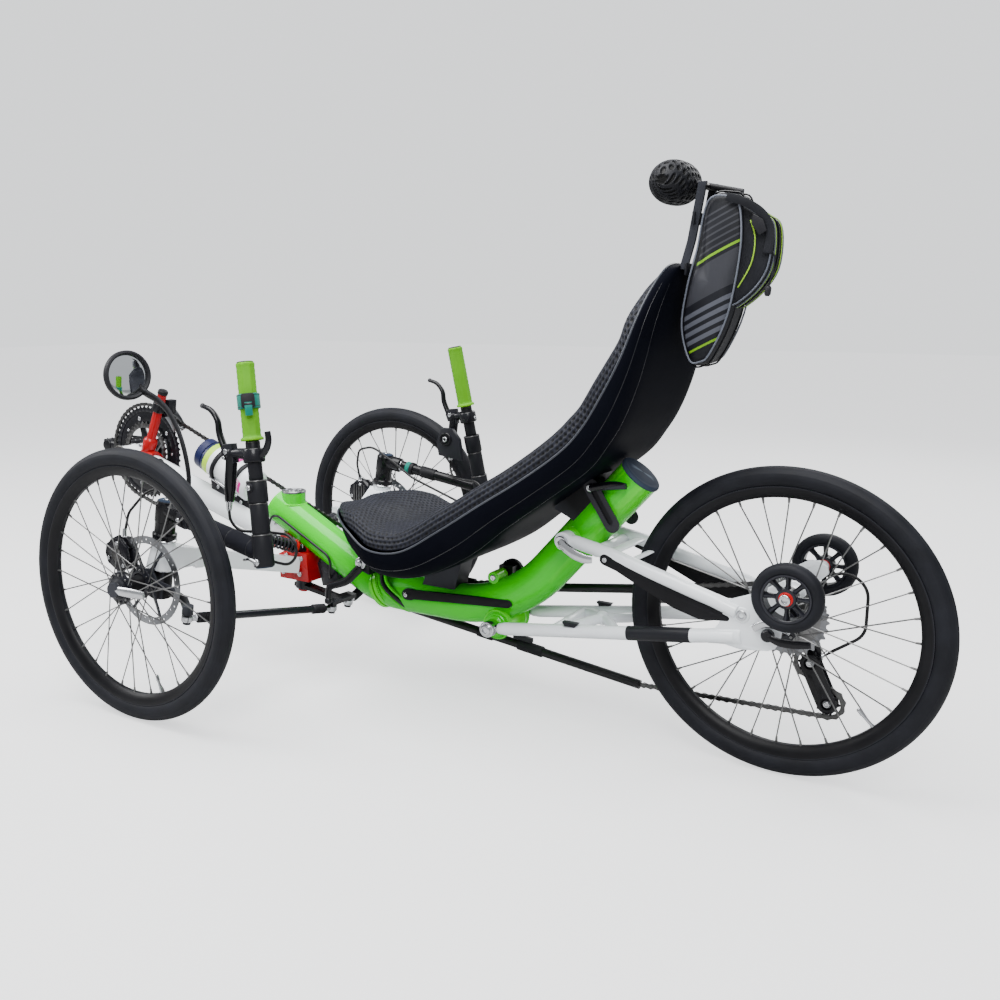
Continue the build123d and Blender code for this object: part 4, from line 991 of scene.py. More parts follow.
PAD_TOP_STEPS, PAD_FLOOR_STEPS = 44, 10
pad_rows = filled(STATIONS, 6)[3:-3]


def pad_section(row):
    """The pad across one station: a rolled edge, a slightly dished top and a hidden floor."""
    reach, crown = row[2] - 5, row[6] * 1.26
    section = []
    for i in range(PAD_TOP_STEPS + 1):
        turn = pi * i / PAD_TOP_STEPS
        share = cos(turn)
        side = abs(share) ** 0.8 * (1 if share > 0 else -1)
        roll = min(1.0, (1 - abs(side)) * reach / 19)
        dish = 9 * max(0.0, 1 - abs(side) * 1.25) * min(1, crown / 24)
        section.append((side * reach, crown * sqrt(1 - (1 - roll) ** 2) - dish))
    for i in range(1, PAD_FLOOR_STEPS):
        share = -1 + 2 * i / PAD_FLOOR_STEPS
        section.append((share * (reach - 6), -7 * (1 - share ** 4)))
    return [station_place(row, out, rise) for out, rise in section]


pad = cover("seat_mesh_pad", [pad_section(row) for row in pad_rows], "rows a centimetre apart")
outward(pad)
swell(pad, 4.0, 0.005)
refine(pad, 2)
# the first colour is painted shade for the holes, the second is the strands' own colour
knit(pad, 0.0098, 0.0011, 0.0012,
     mesh_finish("black spacer mesh", (0.0003, 0.0003, 0.0005), (0.011, 0.0125, 0.021)))
settle(pad, "frame", "mesh_black", "seat_pad", sharp=80)

# %% [markdown]
# ## Headrest
# A small roll of firm foam under a coarse knitted cover stands over the top of the seat, on the bars
# of the solid model.

# %% the headrest pad
rest_sections = []
REST_X, REST_Z, REST_RADIUS, REST_HALF = 191.0, 901.0, 32.5, 58.5
for i in range(41):
    share = -1 + 2 * i / 40
    size = REST_RADIUS * max(0.04, 1 - abs(share) ** 2.6) ** 0.5
    turns = [2 * pi * k / 48 for k in range(48)]
    rest_sections.append(
        [spot(REST_X + size * cos(t), share * REST_HALF, REST_Z + size * sin(t)) for t in turns])
headrest = cover("headrest_roll", rest_sections, "rows 3 mm apart")
outward(headrest)
swell(headrest, 4.0, 0.002)
refine(headrest, 2)
# the first colour is painted shade for the holes, the second is the strands' own colour
knit(headrest, 0.0125, 0.0015, 0.0018,
     mesh_finish("headrest knit", (0.0006, 0.0006, 0.0008), (0.009, 0.0095, 0.013)))
settle(headrest, "frame", "foam_black", "headrest_pad", sharp=80)

# %% [markdown]
# ## Bag
# A wedge-shaped bag hangs behind the top of the seat. Its main compartment is a soft box between two
# side panels, a second compartment stands off its back, and grey piping closes every seam. The cover
# is lofted, blown up by its load, and gets piping and straps on the seams of its filled shape. The
# panels carry a plain sports stripe: slanted bands in grey and lime.


# %% striped cloth
def striped(name, colour, lean, bands):
    """Cloth with straight bands; each band is (where, half width, colour) along a lean, in metres."""
    made = finish(name, colour, tuple(c * 1.7 for c in colour), 0.5, grain=1300, depth=0.0004, shine=0.25)
    nodes, link = made.node_tree.nodes, made.node_tree.links.new
    where = node_of(made, "ShaderNodeTexCoord")
    along = nodes.new("ShaderNodeVectorMath")
    along.operation = "DOT_PRODUCT"
    along.inputs[1].default_value = (cos(lean), 0, sin(lean))
    link(where.outputs["Object"], along.inputs[0])
    painted = node_of(made, "ShaderNodeMixRGB").outputs[0]
    for middle, half, tint in bands:
        near = nodes.new("ShaderNodeMath")
        near.operation = "COMPARE"
        near.inputs[1].default_value, near.inputs[2].default_value = middle, half
        link(along.outputs["Value"], near.inputs[0])
        painted = mixed(made, near.outputs[0], painted, tint)
    link(painted, nodes["Principled BSDF"].inputs["Base Color"])
    return made


LIME_TINT, GREY_TINT, DARK_TINT = (0.16, 0.36, 0.003), (0.075, 0.08, 0.1), (0.03, 0.031, 0.038)
panel_bands = [(0.392, 0.022, DARK_TINT)]
panel_bands += [(0.32 + 0.012 * i, 0.0032, GREY_TINT) for i in range(4)]
panel_bands += [(0.43 + 0.009 * i, 0.0014, DARK_TINT) for i in range(6)]
panel_bands += [(0.308, 0.0016, LIME_TINT), (0.421, 0.0018, LIME_TINT)]
bag_panel = striped("bag side panel", (0.004, 0.0045, 0.007), radians(62), panel_bands)
print(bag_panel.name, "with", len(panel_bands), "bands")

# %% lofted compartments
def loop_through(points, steps=5):
    """A closed smooth outline through a few (x, z) places."""
    points = np.array(points, dtype=float)
    outline = []
    for i in range(len(points)):
        around = [points[(i + k) % len(points)] for k in (-1, 0, 1, 2)]
        outline += [smooth(*around, k / steps) for k in range(steps)]
    return np.array(outline)


def shrunk(outline, size):
    """An outline drawn in or out about its middle."""
    middle = outline.mean(axis=0)
    return middle + (outline - middle) * size


def compartment(name, outline, half, body_coat, panel_coat, cap):
    """A soft box: a gusset between two slightly domed side panels."""
    rows = [(-1.02, 0.06), (-1.02, 0.35), (-1.01, 0.62), (-0.98, 0.82), (-0.94, 0.93), (-0.84, 0.98),
            (-0.6, 1.0), (-0.3, 1.0)]
    rows += [(0, 1.0)] + [(-share, size) for share, size in reversed(rows)]
    shapes = Piece(name)
    shapes.skin([[spot(x, share * half, z) for x, z in shrunk(outline, size)] for share, size in rows],
                body_coat)
    mesh = shapes.plain()
    mesh.materials.append(body_coat)
    mesh.materials.append(panel_coat)
    made = add_object(name, mesh)
    outward(made)
    edge = half * 0.93 * MM
    for face in mesh.polygons:
        face.material_index = 1 if abs(face.center.y) > edge else 0
    swell(made, 4.0, cap)
    refine(made, 1)
    return made


bag_outline = loop_through(((127, 872), (97, 879), (79, 866), (74, 800), (89, 702), (115, 640), (130, 627),
                            (147, 630), (161, 682), (154, 745), (141, 800)))
main_bag = compartment("bag_main", bag_outline, 40, bag_black, bag_panel, 0.004)
settle(main_bag, "frame", "bag_fabric", "bag", sharp=50)
pocket_outline = loop_through(
    ((92, 862), (52, 846), (35, 826), (38, 768), (66, 728), (98, 716), (104, 790)))
bag_pocket = compartment("bag_pocket", pocket_outline, 30, bag_black, bag_black, 0.003)
settle(bag_pocket, "frame", "bag_fabric", sharp=50)

# %% piping, zips and straps
lime_tape = finish("lime tape", (0.3, 0.55, 0.02), (0.25, 0.48, 0.015), 0.5)
sewn = Piece("bag_trim")
for outline, half, size, coat, thick in (
        (bag_outline, 40, 0.955, piping_grey, 1.5),
        (pocket_outline, 30, 0.955, piping_grey, 1.4), (pocket_outline, 20, 1.02, piping_grey, 1.2),
        (pocket_outline, 16, 1.025, lime_tape, 0.7), (bag_outline, 20, 1.012, black_gloss, 1.6)):
    for hand in (1, -1):
        sewn.bar([spot(x, hand * (half + (1.2 if size < 0.98 else 0)), z)
                  for x, z in shrunk(outline, size)], thick, coat, 6, ring=True)
sewn.bar([spot(x, 0, z) for x, z in shrunk(pocket_outline, 1.02)], 1.5, black_gloss, 6, ring=True)
sewn.bar(curved(route((66, 32.4, 838), (58, 33.4, 812), (62, 33.6, 776), (80, 32.4, 742))), 1.1,
         lime_tape, 6)
strap_line = curved(route((98, 46, 872), (70, 44, 862), (48, 38, 846), (37, 33, 822), (40, 34, 790)))
sewn.bar(strap_line, 6, bag_black, up=LEFT, flat=0.22, square=True)
sewn.plate([((60, 846), (46, 838), (40, 822), (50, 816), (62, 832))], 37, 42, matt_plastic)
sewn.bar(curved(route((40, 30, 800), (30, 31, 786), (31, 32, 764), (36, 32, 742))), 1.3, bag_black, 6)
sewn.turned(spot(36, 32, 744), (0.1, 0, -1), ((0, 3), (3, 4.6), (12, 4.6), (15, 2.5), (15, 0)),
            matt_plastic, 12)
for height in (845, 770):
    sewn.bar([spot(150 + (845 - height) * 0.12, y, height) for y in (-34, -12, 12, 34)], 9, bag_black,
             up=Vector((1, 0, 0)), flat=0.2, square=True)
sewn.build("frame", "bag_fabric", bevel=0.3)

# %% [markdown]
# ## Grip posts
# Each front wheel is steered straight from a post beside the seat. A forged stem grips the steering
# tube, a short bar runs back and in, and a telescopic post of three sleeves rises from its end. The
# sleeves' cut edges show bare metal. The left bar wears a thick foam sleeve, the right one tape.


# %% posts and bars
POST_HEIGHT, POST_OUT, POST_LEAN = 450, 343, 0.0857
POST_SLANT = 1.019


def post_at(height, side):
    """A place on the leaning axis of a grip post."""
    rise = height - POST_HEIGHT
    return spot(752 + 0.176 * rise, side * (POST_OUT - POST_LEAN * rise), height)


def post_run(side):
    """The direction of a grip post, upwards."""
    return (post_at(600, side) - post_at(300, side)).normalized()


def post_frame(height, side):
    """A place on a post, its direction, and the two directions across it: ahead and aside."""
    run = post_run(side)
    ahead = (KING_AHEAD - run * KING_AHEAD.dot(run)).normalized()
    return post_at(height, side), run, ahead, run.cross(ahead)


STEM_TOP = 142
for side_name, hand in SIDES:
    post = Piece(f"grip_post_{side_name}")
    post.turned(kingpin(hand), KING_UP,
                ((73.6, 12.2), (73.6, 21), (76, 22), (82, 22), (84, 18.6), (104, 18.6), (105, 19.6),
                 (STEM_TOP - 5, 19.6), (STEM_TOP - 3, 18), (STEM_TOP, 17), (STEM_TOP, 0)), black_gloss, 36)
    post.turned(
        kingpin(hand, STEM_TOP - 1), KING_UP, ((0, 16), (2, 15), (2.6, 9), (2.6, 0)), slate_plastic, 30)
    post.bolt(kingpin(hand, STEM_TOP + 1), KING_UP, 5, silver, 2.5)
    front, back = kingpin(hand, STEM_TOP - 16), post_at(322, hand)
    run = (back - front).normalized()
    far = (back - front).length / MM
    post.turned(front, run, ((-2, 0), (-2, 14), (8, 16), (40, 16), (44, 13), (44, 11)), black_gloss, 28)
    post.turned(front, run, ((43, 12), (43, 12.8), (45, 12.8), (45, 11.6)), silver, 28)
    if hand > 0:
        post.turned(front, run, ((44, 10.8), (60, 10.8), (60, 15), (62, 16.8), (far - 18, 16.8),
                                 (far - 15, 15), (far, 11)), foam_sleeve, 32)
        for ring in range(4):
            at = 70 + (far - 96) * ring / 3
            post.turned(front, run, ((at, 16.6), (at + 0.8, 17), (at + 2.2, 17), (at + 3, 16.6)),
                        black_satin, 32)
    else:
        wraps = [(44 + (far - 50) * i / 45, 11.4) for i in range(46)]
        clip = (96, 11), (96, 12.4), (98, 13), (130, 13), (132, 12.4), (132, 11)
        band = (58, 11), (58, 13.4), (68, 13.4), (68, 11)
        stop = (68, 11), (68, 14.2), (76, 14.2), (76, 11)
        for profile, coat in (
                (wraps, black_gloss), (clip, matt_plastic), (band, teal_webbing), (stop, matt_plastic)):
            post.turned(front, run, profile, coat, 28)
    for low, high, radius in ((300, 352, 17), (352, 402, 15.2), (402, 438, 17), (438, 500.5, 12)):
        base, run_up = post_at(low, hand), post_run(hand)
        tall = (high - low) * POST_SLANT
        post.turned(base, run_up, ((0, radius - 3), (0, radius - 0.8), (1.5, radius), (tall - 2, radius),
                                   (tall, radius - 0.8), (tall, radius - 5)), black_satin, 36)
        post.turned(
            base, run_up, ((tall - 2.8, radius + 0.05), (tall - 2.6, radius + 0.35),
                           (tall - 1.6, radius + 0.35), (tall - 1.2, radius + 0.05)), dark_steel, 36)
    base = post_at(300, hand)
    post.turned(base, -post_run(hand), ((0, 0), (-1, 15), (2, 14), (3, 0)), slate_plastic, 24)
    pinch = post_at(428, hand)
    post.turned(pinch, LEFT * hand, ((10, 7), (19, 7), (20, 5.5), (20, 0)), black_satin, 20)
    post.bolt(pinch + LEFT * hand * 20 * MM, LEFT * hand, 4.5, silver)
    foot = post_at(310, hand) + LEFT * hand * 14 * MM
    post.turned(foot, LEFT * hand, ((0, 6), (6, 6), (7, 5), (7, 0)), silver, 18)
    lever_line = curved([foot + Vector((0, hand * 0.006, 0)), foot + Vector((0.012, hand * 0.007, 0.004)),
                         foot + Vector((0.026, hand * 0.006, 0.001))])
    post.bar(lever_line, (3.4, 2.2), silver, 10)
    post.build(f"knuckle_{side_name}", "black_alloy", f"handlebar_{side_name}", bevel=0.3)

# %% [markdown]
# The grips are soft lime rubber, eight-sided with rounded corners, a flange at the foot and a dark
# plug in the open end. The left one carries a woven strap with a buckle, which holds the parking
# brake.

# %% grips and strap
GRIP_LOW, GRIP_HIGH = 501, 626
for side_name, hand in SIDES:
    grip = Piece(f"soft_grip_{side_name}")
    base, up_run, ahead, aside = post_frame(GRIP_LOW, hand)
    tall = (GRIP_HIGH - GRIP_LOW) * POST_SLANT
    rows = ((0, 13.5), (0.5, 18.4), (2, 19), (4.5, 18.6), (6, 16.2), (7, 15.6))
    rows += tuple((7 + (tall - 12) * i / 26, 15.6 - (0.55 if i % 2 else 0)) for i in range(1, 27))
    rows += ((tall - 3, 15.8), (tall - 1, 15.2), (tall, 13.8), (tall, 9))
    sections = []
    for along, radius in rows:
        ring = []
        for i in range(48):
            turn = 2 * pi * i / 48
            face_turn = (turn + pi / 8) % (pi / 4) - pi / 8
            flat = radius * (0.965 / cos(face_turn)) if 6 < along < tall - 2 else radius
            ring.append(base + up_run * along * MM
                        + (ahead * cos(turn) + aside * sin(turn)) * min(flat, radius + 0.4) * MM)
        sections.append(ring)
    grip.skin(sections, grip_lime)
    grip.turned(base, up_run, ((tall - 2, 13), (tall + 0.8, 14), (tall + 1.8, 13), (tall + 1.8, 7),
                               (tall + 0.4, 6), (tall + 0.4, 0)), matt_plastic, 24)
    grip.build(f"knuckle_{side_name}", "grip_lime", f"grip_{side_name}", sharp=28)

strap = Piece("parking_strap")
STRAP_AT = 552
base, up_run, ahead, aside = post_frame(STRAP_AT, 1)
strap.turned(base, up_run, ((0, 16.4), (0, 18.2), (0.8, 18.8), (23.6, 18.8), (24.4, 18.2), (24.4, 16.4)),
             teal_webbing, 40)
for edge in (2.6, 21.6):
    strap.turned(base, up_run, ((edge, 18.7), (edge + 0.3, 19.2), (edge + 0.9, 19.2), (edge + 1.2, 18.7)),
                 black_satin, 40)
buckle = base + up_run * 12 * MM - ahead * 12 * MM + aside * 15 * MM
facing = (aside - ahead * 0.8).normalized()


def on_buckle(u, v, w):
    """A plate's plane on the face of the buckle."""
    return buckle + (facing.cross(up_run) * u + up_run * v + facing * w) * MM


strap.plate([((-9, -12), (9, -12), (11, -8), (11, 8), (9, 12), (-9, 12), (-11, 8), (-11, -8))], 0, 5,
            matt_plastic, on_buckle)
strap.plate([((-6, -9), (6, -9), (6, -4), (-6, -4))], 5, 6.5, black_gloss, on_buckle)
strap.bar(curved([buckle + facing * 0.003, buckle + facing * 0.006 - up_run * 0.012, buckle + facing * 0.004
                  - up_run * 0.024]), 6, teal_webbing, up=facing, flat=0.2, square=True)
strap.build("knuckle_left", "strap_teal", "grip_strap", bevel=0.3)

# %% [markdown]
# ## Brake levers, hoses and calipers
# The levers are cast: a perch round the post, a master cylinder that stands along it, and a curved
# blade with a hooked end for two fingers. A small hook behind the left post is the parking catch.
# Hoses leave the cylinder's foot and end on each caliper, which is bolted to the knuckle.

# %% brake levers
SET_BACK = {"left": 0, "right": 15}
for side_name, hand in SIDES:
    back = SET_BACK[side_name]
    y = hand * (POST_OUT - POST_LEAN * 30)
    brake = Piece(f"lever_{side_name}")
    brake.turned(post_at(466, hand), post_run(hand),
                 ((0, 12.2), (0, 16), (2, 18), (20, 18), (23, 16), (23, 12.2)), black_gloss, 32)
    cylinder = [spot(x - back, y, z) for x, z in ((804, 486), (806, 470), (811, 425), (814, 396))]
    brake.bar(curved(cylinder, 4), [5, 7.5, 9, 9.6] + [10] * 6 + [8.6, 8, 7.4], black_gloss, 18)
    brake.turned(spot(814 - back, y, 398), (0.06, 0, -1),
                 ((0, 7.6), (3, 7.6), (3, 5.4), (12, 5), (18, 4), (18, 2.6)), silver, 14)
    brake.bar([post_at(479, hand) + Vector((0.012, 0, 0)), spot(798 - back, y, 478),
               spot(806 - back, y, 476)], [10, 8.5, 8], black_gloss, 14)
    brake.plate([((796 - back, 462), (818 - back, 466), (824 - back, 480), (818 - back, 492),
                  (800 - back, 494))], y - 7, y + 7, black_gloss)
    brake.turned(spot(813 - back, y - 9, 480), LEFT, ((0, 4), (0.6, 4.6), (17.4, 4.6), (18, 4)), silver, 14)
    blade = curved([spot(x - back, y, z) for x, z in ((810, 468), (822, 486), (832, 508), (836, 530),
                                                      (850, 546), (868, 552))], 5)
    brake.bar(blade, (6, 3.8), black_gloss, 14, up=LEFT, flat=1.25)
    brake.ball(spot(869 - back, y, 552.5), 4.6, black_gloss, 8, 14)
    if hand > 0:
        hook = [(748, y, 474), (738, y, 481), (729, y, 492), (725, y, 505), (727, y, 519)]
        brake.bar(curved(route(*hook), 5), (6.5, 5.1), black_gloss, 12, up=LEFT)
    brake.bolt(post_at(477, hand) - Vector((0.0165, 0, 0)), (-1, 0, 0), 3.6, silver)
    brake.bolt(spot(816 - back, y + 8 * hand, 470), LEFT * hand, 3.2, silver)
    if hand < 0:
        brake.plate([((760, 384), (818, 392), (824, 420), (812, 452), (786, 452), (768, 430))], y + 8,
                    y + 20, black_satin)
        brake.turned(spot(790, y - 8, 424), LEFT, ((-6, 0), (-6, 7), (-4, 9), (16, 9)), clear_red, 20)
        brake.turned(spot(800, y + 20, 428), LEFT, ((-1, 15), (2, 15), (3.4, 13.6), (3.4, 10.6), (1.6, 10),
                                                    (1.6, 8), (4.6, 7.6), (4.6, 4)), black_gloss, 36)
        brake.bolt(spot(800, y + 22, 428), LEFT, 6, silver, 3.4)
    brake.build(f"knuckle_{side_name}", "black_alloy", f"brake_lever_{side_name}", bevel=0.5, sharp=40)

# %% calipers
for side_name, hand in SIDES:
    middle = hand * DISC_OUT
    caliper = Piece(f"disc_caliper_{side_name}")
    outline = ((1028, 272), (1040, 252), (1056, 250), (1080, 263), (1086, 280), (1082, 297), (1062, 309),
               (1046, 309), (1032, 297))
    for low, high in ((-17, -4), (4, 11)):
        caliper.plate([outline], middle + hand * low, middle + hand * high, black_gloss)
    caliper.plate([((1056, 300), (1084, 286), (1088, 292), (1078, 304), (1060, 313))], middle - hand * 5,
                  middle + hand * 5, black_gloss)
    for fin in range(5):
        caliper.plate([((1040 + 7 * fin, 262), (1043 + 7 * fin, 262), (1043 + 7 * fin, 300),
                        (1040 + 7 * fin, 300))], middle - hand * 19, middle - hand * 16.5, dark_steel)
    caliper.turned(spot(1056, middle + hand * 10.5, 280), LEFT * hand,
                   ((0, 12), (2, 12), (3, 10.5), (3, 0)), dark_steel, 24)
    for x, z in ((1038, 262), (1052, 301), (1076, 272)):
        caliper.bolt(spot(x, middle + hand * 11, z), LEFT * hand, 3.6, silver)
        caliper.bolt(spot(x, middle - hand * 17, z), LEFT * -hand, 3.6, silver)
    caliper.bar(route((1000, 347, 238), (1022, 350, 248), (1044, 351, 258), side=hand), 6, black_satin,
                10, up=LEFT, flat=1.0)
    caliper.turned(spot(1058, hand * 356, 309), (0, 0, 1),
                   ((-4, 5), (0, 5), (1, 4), (9, 3.6), (10, 3.2), (14, 3.2)), silver, 14)
    caliper.build(f"knuckle_{side_name}", "black_alloy", f"caliper_{side_name}", bevel=0.6)
dress(hose_black, "brake_hose_left", "brake_hose_right", "gear_cables")

# %% [markdown]
# ## Mirror
# A round mirror on the left looks back past the rider. Its dished black back and rim hold a slightly
# domed glass, and a flat moulded arm curves down to a clamp on the bar.

# %% mirror
mirror = Piece("round_mirror")
MIRROR_AT = spot(1061, 330, 596)
mirror_back = Vector((0.955, -0.26, -0.1)).normalized()
mirror.turned(MIRROR_AT, mirror_back, ((1.5, 38), (0, 39), (-0.5, 41), (1, 42), (4, 42), (8, 40), (12, 33),
                                       (14, 20), (14, 0)), matt_plastic, 64)
glass = [(1.6, 38.6)] + [(1.2 - 2.2 * (1 - (r / 38) ** 2), r) for r in (37.5, 30, 22, 14, 7, 0)]
mirror.turned(MIRROR_AT, mirror_back, glass, mirror_silver, 64)
mirror.hoop(MIRROR_AT, ((36.8, 0.5), (37.6, -3.4), (40, -5), (43, -4), (44.2, -1), (44.2, 5), (42.8, 9),
                        (39, 4)), matt_plastic, 72, mirror_back)
stalk = curved(
    route((1066, 312, 590), (1058, 305, 571), (1036, 308, 562), (1008, 312, 553), (974, 318, 534),
          (946, 324, 504), (926, 329, 466), (916, 332, 425), (917, 336, 390), (918, 338, 366)), 6)
mirror.bar(stalk, [9.5 - 3.1 * min(1, i / 30) for i in range(len(stalk))], matt_plastic, 14,
           up=Vector((0.2, 0, 1)), flat=0.62)
bar_front, bar_back = kingpin(1, STEM_TOP - 16), post_at(322, 1)
bar_run = (bar_back - bar_front).normalized()
mirror.turned(bar_front + bar_run * 46 * MM, bar_run,
              ((0, 13), (0, 18), (1, 19), (13, 19), (14, 18), (14, 13)), matt_plastic, 32)
mirror.bolt(bar_front + bar_run * 53 * MM + LEFT * 19 * MM, LEFT, 3.5, silver)
mirror.build("knuckle_left", "black_plastic", "mirror", sharp=40)

# %% [markdown]
# ## Sprockets and chainrings
# Every toothed wheel is stamped from plate. One tooth with its share of the plate is cut as an outline
# and copied round, so the number of teeth follows from the chain's half-inch pitch. It is even, because
# the chain's narrow and wide links alternate.

# %% one tooth
PITCH, TOOTH_DEPTH = 12.7, 6


def set_teeth(piece, radius, inner, thick, coat, place):
    """Adds a toothed ring to a piece, its pitch line a little inside the given radius."""
    count = 2 * max(5, round(pi * (radius - TOOTH_DEPTH / 2) / PITCH))
    half = pi / count
    tooth = ((radius - 4.6, -1), (radius - 4.4, -0.62), (radius - 1.4, -0.3), (radius, -0.12),
             (radius, 0.12), (radius - 1.4, 0.3), (radius - 4.4, 0.62), (radius - 4.6, 1))
    outline = [(r * cos(share * half), r * sin(share * half)) for r, share in tooth]
    outline += [(inner * cos(half), inner * sin(half)), (inner, 0), (inner * cos(half), -inner * sin(half))]
    unit = Piece("tooth")
    unit.plate([outline], -thick / 2, thick / 2, coat, upright)
    set_round(piece, unit, count, coat, place)


print("a tooth every", PITCH, "mm,", TOOTH_DEPTH, "mm deep")

# %% cassette
cassette = Piece("sprocket_cluster")
for radius, out in ((62, 29.5), (57, 34.5), (52, 39.5), (47, 44.5), (42, 49.5), (36, 54.5)):
    at = spot(0, -out - 1, WHEEL_RADIUS)
    set_teeth(cassette, radius, radius - 13, 1.9, steel, at)
    cassette.hoop(at, ((20, -0.9), (radius - 12.6, -0.7), (radius - 12.6, 0.7), (20, 0.9)), dark_steel, 48)
cassette.turned(
    spot(0, -29.5, WHEEL_RADIUS), (0, -1, 0), ((0, 19), (27, 19), (28, 17), (28.5, 14.5)), steel, 40)
cassette.build("wheel_rear", "steel", "cassette")

# %% [markdown]
# ## Crankset and pedals
# Three chainrings sit on a forged black spider. The cranks are shaped bars, thick at the axle and
# slim at the pedal, each with a silver bolt at the axle. The pedals are plain caged ones: two side
# plates with a pinned edge round an axle tube.

# %% crankset
BB_X, BB_Z = 1435, 385
CRANK_LENGTH = 170
bb_place = spot(BB_X, 0, BB_Z)
cranks = Piece("crankset_dressed")
for radius, out, inner, coat in (
        (106, -48, 92, black_gloss), (88, -55, 76, dark_steel), (70, -41, 56, dark_steel)):
    set_teeth(cranks, radius, inner, 2, coat, spot(BB_X, out, BB_Z))
cranks.hoop(spot(BB_X, -49.5, BB_Z), flat_ring(62, 93, 1.4), black_gloss, 72)
for i in range(10):
    turn = 2 * pi * i / 10
    cranks.bolt(
        spot(BB_X + 78 * cos(turn), -48.2, BB_Z + 78 * sin(turn)), LEFT, 3.4 if i % 2 else 4.6, silver, 1.6)
arm = Piece("spider arm")
arm.plate([((20, -13), (46, -7), (84, -5), (94, -3), (94, 3), (84, 5), (46, 7), (20, 13))], -4, 3,
          black_gloss, upright)
set_round(cranks, arm, 5, black_gloss, spot(BB_X, -51, BB_Z))
cranks.turned(bb_place, LEFT, ((-78, 12), (-37, 12), (-36.5, 22), (-34.5, 24), (-34.2, 12), (34.2, 12),
                               (34.5, 24), (36.5, 22), (37, 12), (78, 12)), dark_steel, 36)
for hand, ahead in ((1, -1), (-1, 1)):
    mid = hand * 78
    crank = route(
        (BB_X - ahead * 6, mid - hand * 2, BB_Z), (BB_X + ahead * 20, mid - hand * 1, BB_Z),
        (BB_X + ahead * 80, mid, BB_Z), (BB_X + ahead * 150, mid, BB_Z), (BB_X + ahead * 172, mid, BB_Z))
    cranks.bar(crank, [13.5, 13, 11, 10, 10.5], black_gloss, 20, up=LEFT, flat=0.5)
    cranks.turned(spot(BB_X, mid, BB_Z), LEFT * hand,
                  ((-6.4, 16), (-5, 17), (5, 16.5), (6.4, 15), (6.4, 9), (4, 9), (4, 0)), black_gloss, 32)
    cranks.bolt(spot(BB_X, mid + hand * 4, BB_Z), LEFT * hand, 8, silver, 2.2)
    end = spot(BB_X + ahead * CRANK_LENGTH, hand * 71.5, BB_Z)
    cranks.turned(end, LEFT * hand, ((0, 12), (1, 13), (12, 13), (13, 12), (13, 7), (27, 7), (28, 4.9),
                                     (104, 4.9)), black_gloss, 28)
cranks.build("crankset", "black_alloy", "crankset", bevel=0.3)

# %% pedals
for side_name, hand, ahead in (("left", 1, -1), ("right", -1, 1)):
    pedal = Piece(f"cage_pedal_{side_name}")
    x = BB_X + ahead * CRANK_LENGTH
    pedal.turned_out(hand, (x, 101, BB_Z), ((0, 5.4), (0, 10.5), (4, 11), (20, 8.5), (60, 8.5), (74, 10.5),
                                            (77, 10), (78, 5.4)), matt_plastic, 28)
    for low, high in (outboard(hand, 101, 105), outboard(hand, 175, 179)):
        pedal.plate([((x - 44, BB_Z - 8), (x - 30, BB_Z - 10.5), (x + 30, BB_Z - 10.5), (x + 44, BB_Z - 8),
                      (x + 44, BB_Z + 8), (x + 30, BB_Z + 10.5), (x - 30, BB_Z + 10.5), (x - 44, BB_Z + 8)),
                     circle(x, BB_Z, 9, 16), circle(x - 26, BB_Z, 6, 12), circle(x + 26, BB_Z, 6, 12)], low,
                    high, matt_plastic)
    for edge in (-1, 1):
        low_y, high_y = outboard(hand, 101, 179)
        pedal.plate([((x + edge * 44, BB_Z - 8), (x + edge * 40, BB_Z - 9), (x + edge * 40, BB_Z + 9),
                      (x + edge * 44, BB_Z + 8))], low_y, high_y, matt_plastic)
        for pin in range(5):
            for face in (-1, 1):
                pedal.turned(spot(x + edge * 42, low_y + 10 + pin * 14.5, BB_Z + face * 8), (0, 0, face),
                             ((0, 1.7), (2.6, 1.5), (2.8, 0)), silver, 8)
    reflector = spot(x + 45 - 1.2, hand * 140, BB_Z)
    pedal.plate([((-16, -5), (16, -5), (16, 5), (-16, 5))], -1, 1, clear_red,
                lambda u, v, w: reflector + Vector((w, u, v)) * MM)
    pedal.build(f"pedal_{side_name}", "black_plastic", f"pedal_{side_name}", bevel=0.4)

# %% [markdown]
# ## Chain
# Each half inch of a roller chain is a pair of plates and a roller. One outer and one inner link are
# modelled; the line tree hangs them in turn along the chain's bare stretches. Between the stretches
# the chain runs through black plastic tubes.


# %% two links
def link_unit(name, out, thick):
    """A link about the origin, along x: two figure-of-eight plates and a roller."""
    half = PITCH / 2
    turns = [-pi / 2 + pi * i / 8 for i in range(9)]
    waist = [(half + 3.9 * cos(turn), 3.9 * sin(turn)) for turn in turns]
    waist += [(0, 2.7)] + [(-u, -v) for u, v in waist] + [(0, -2.7)]
    shapes = Piece(name)
    for y in (-out, out):
        shapes.plate([waist], y - thick / 2, y + thick / 2, steel, upright)
    for end in (-half, half):
        shapes.turned(Vector((end * MM, 0, 0)), LEFT, ((-out - 0.5, 1.8), (out + 0.5, 1.8)), steel, 8)
        shapes.turned(Vector((end * MM, 0, 0)), LEFT, ((-1.3, 3.7), (1.3, 3.7)), steel, 10)
    return add_object(name, shapes.plain())


CHAIN_Y = -48
outer_link, inner_link = link_unit("outer link", 2.7, 0.9), link_unit("inner link", 1.8, 0.9)


def arc(cx, cz, radius, start, end, steps=24):
    """Places on a circle from one angle to another, in degrees."""
    turns = [radians(start + (end - start) * i / steps) for i in range(steps + 1)]
    return [(cx + radius * cos(t), cz + radius * sin(t)) for t in turns]


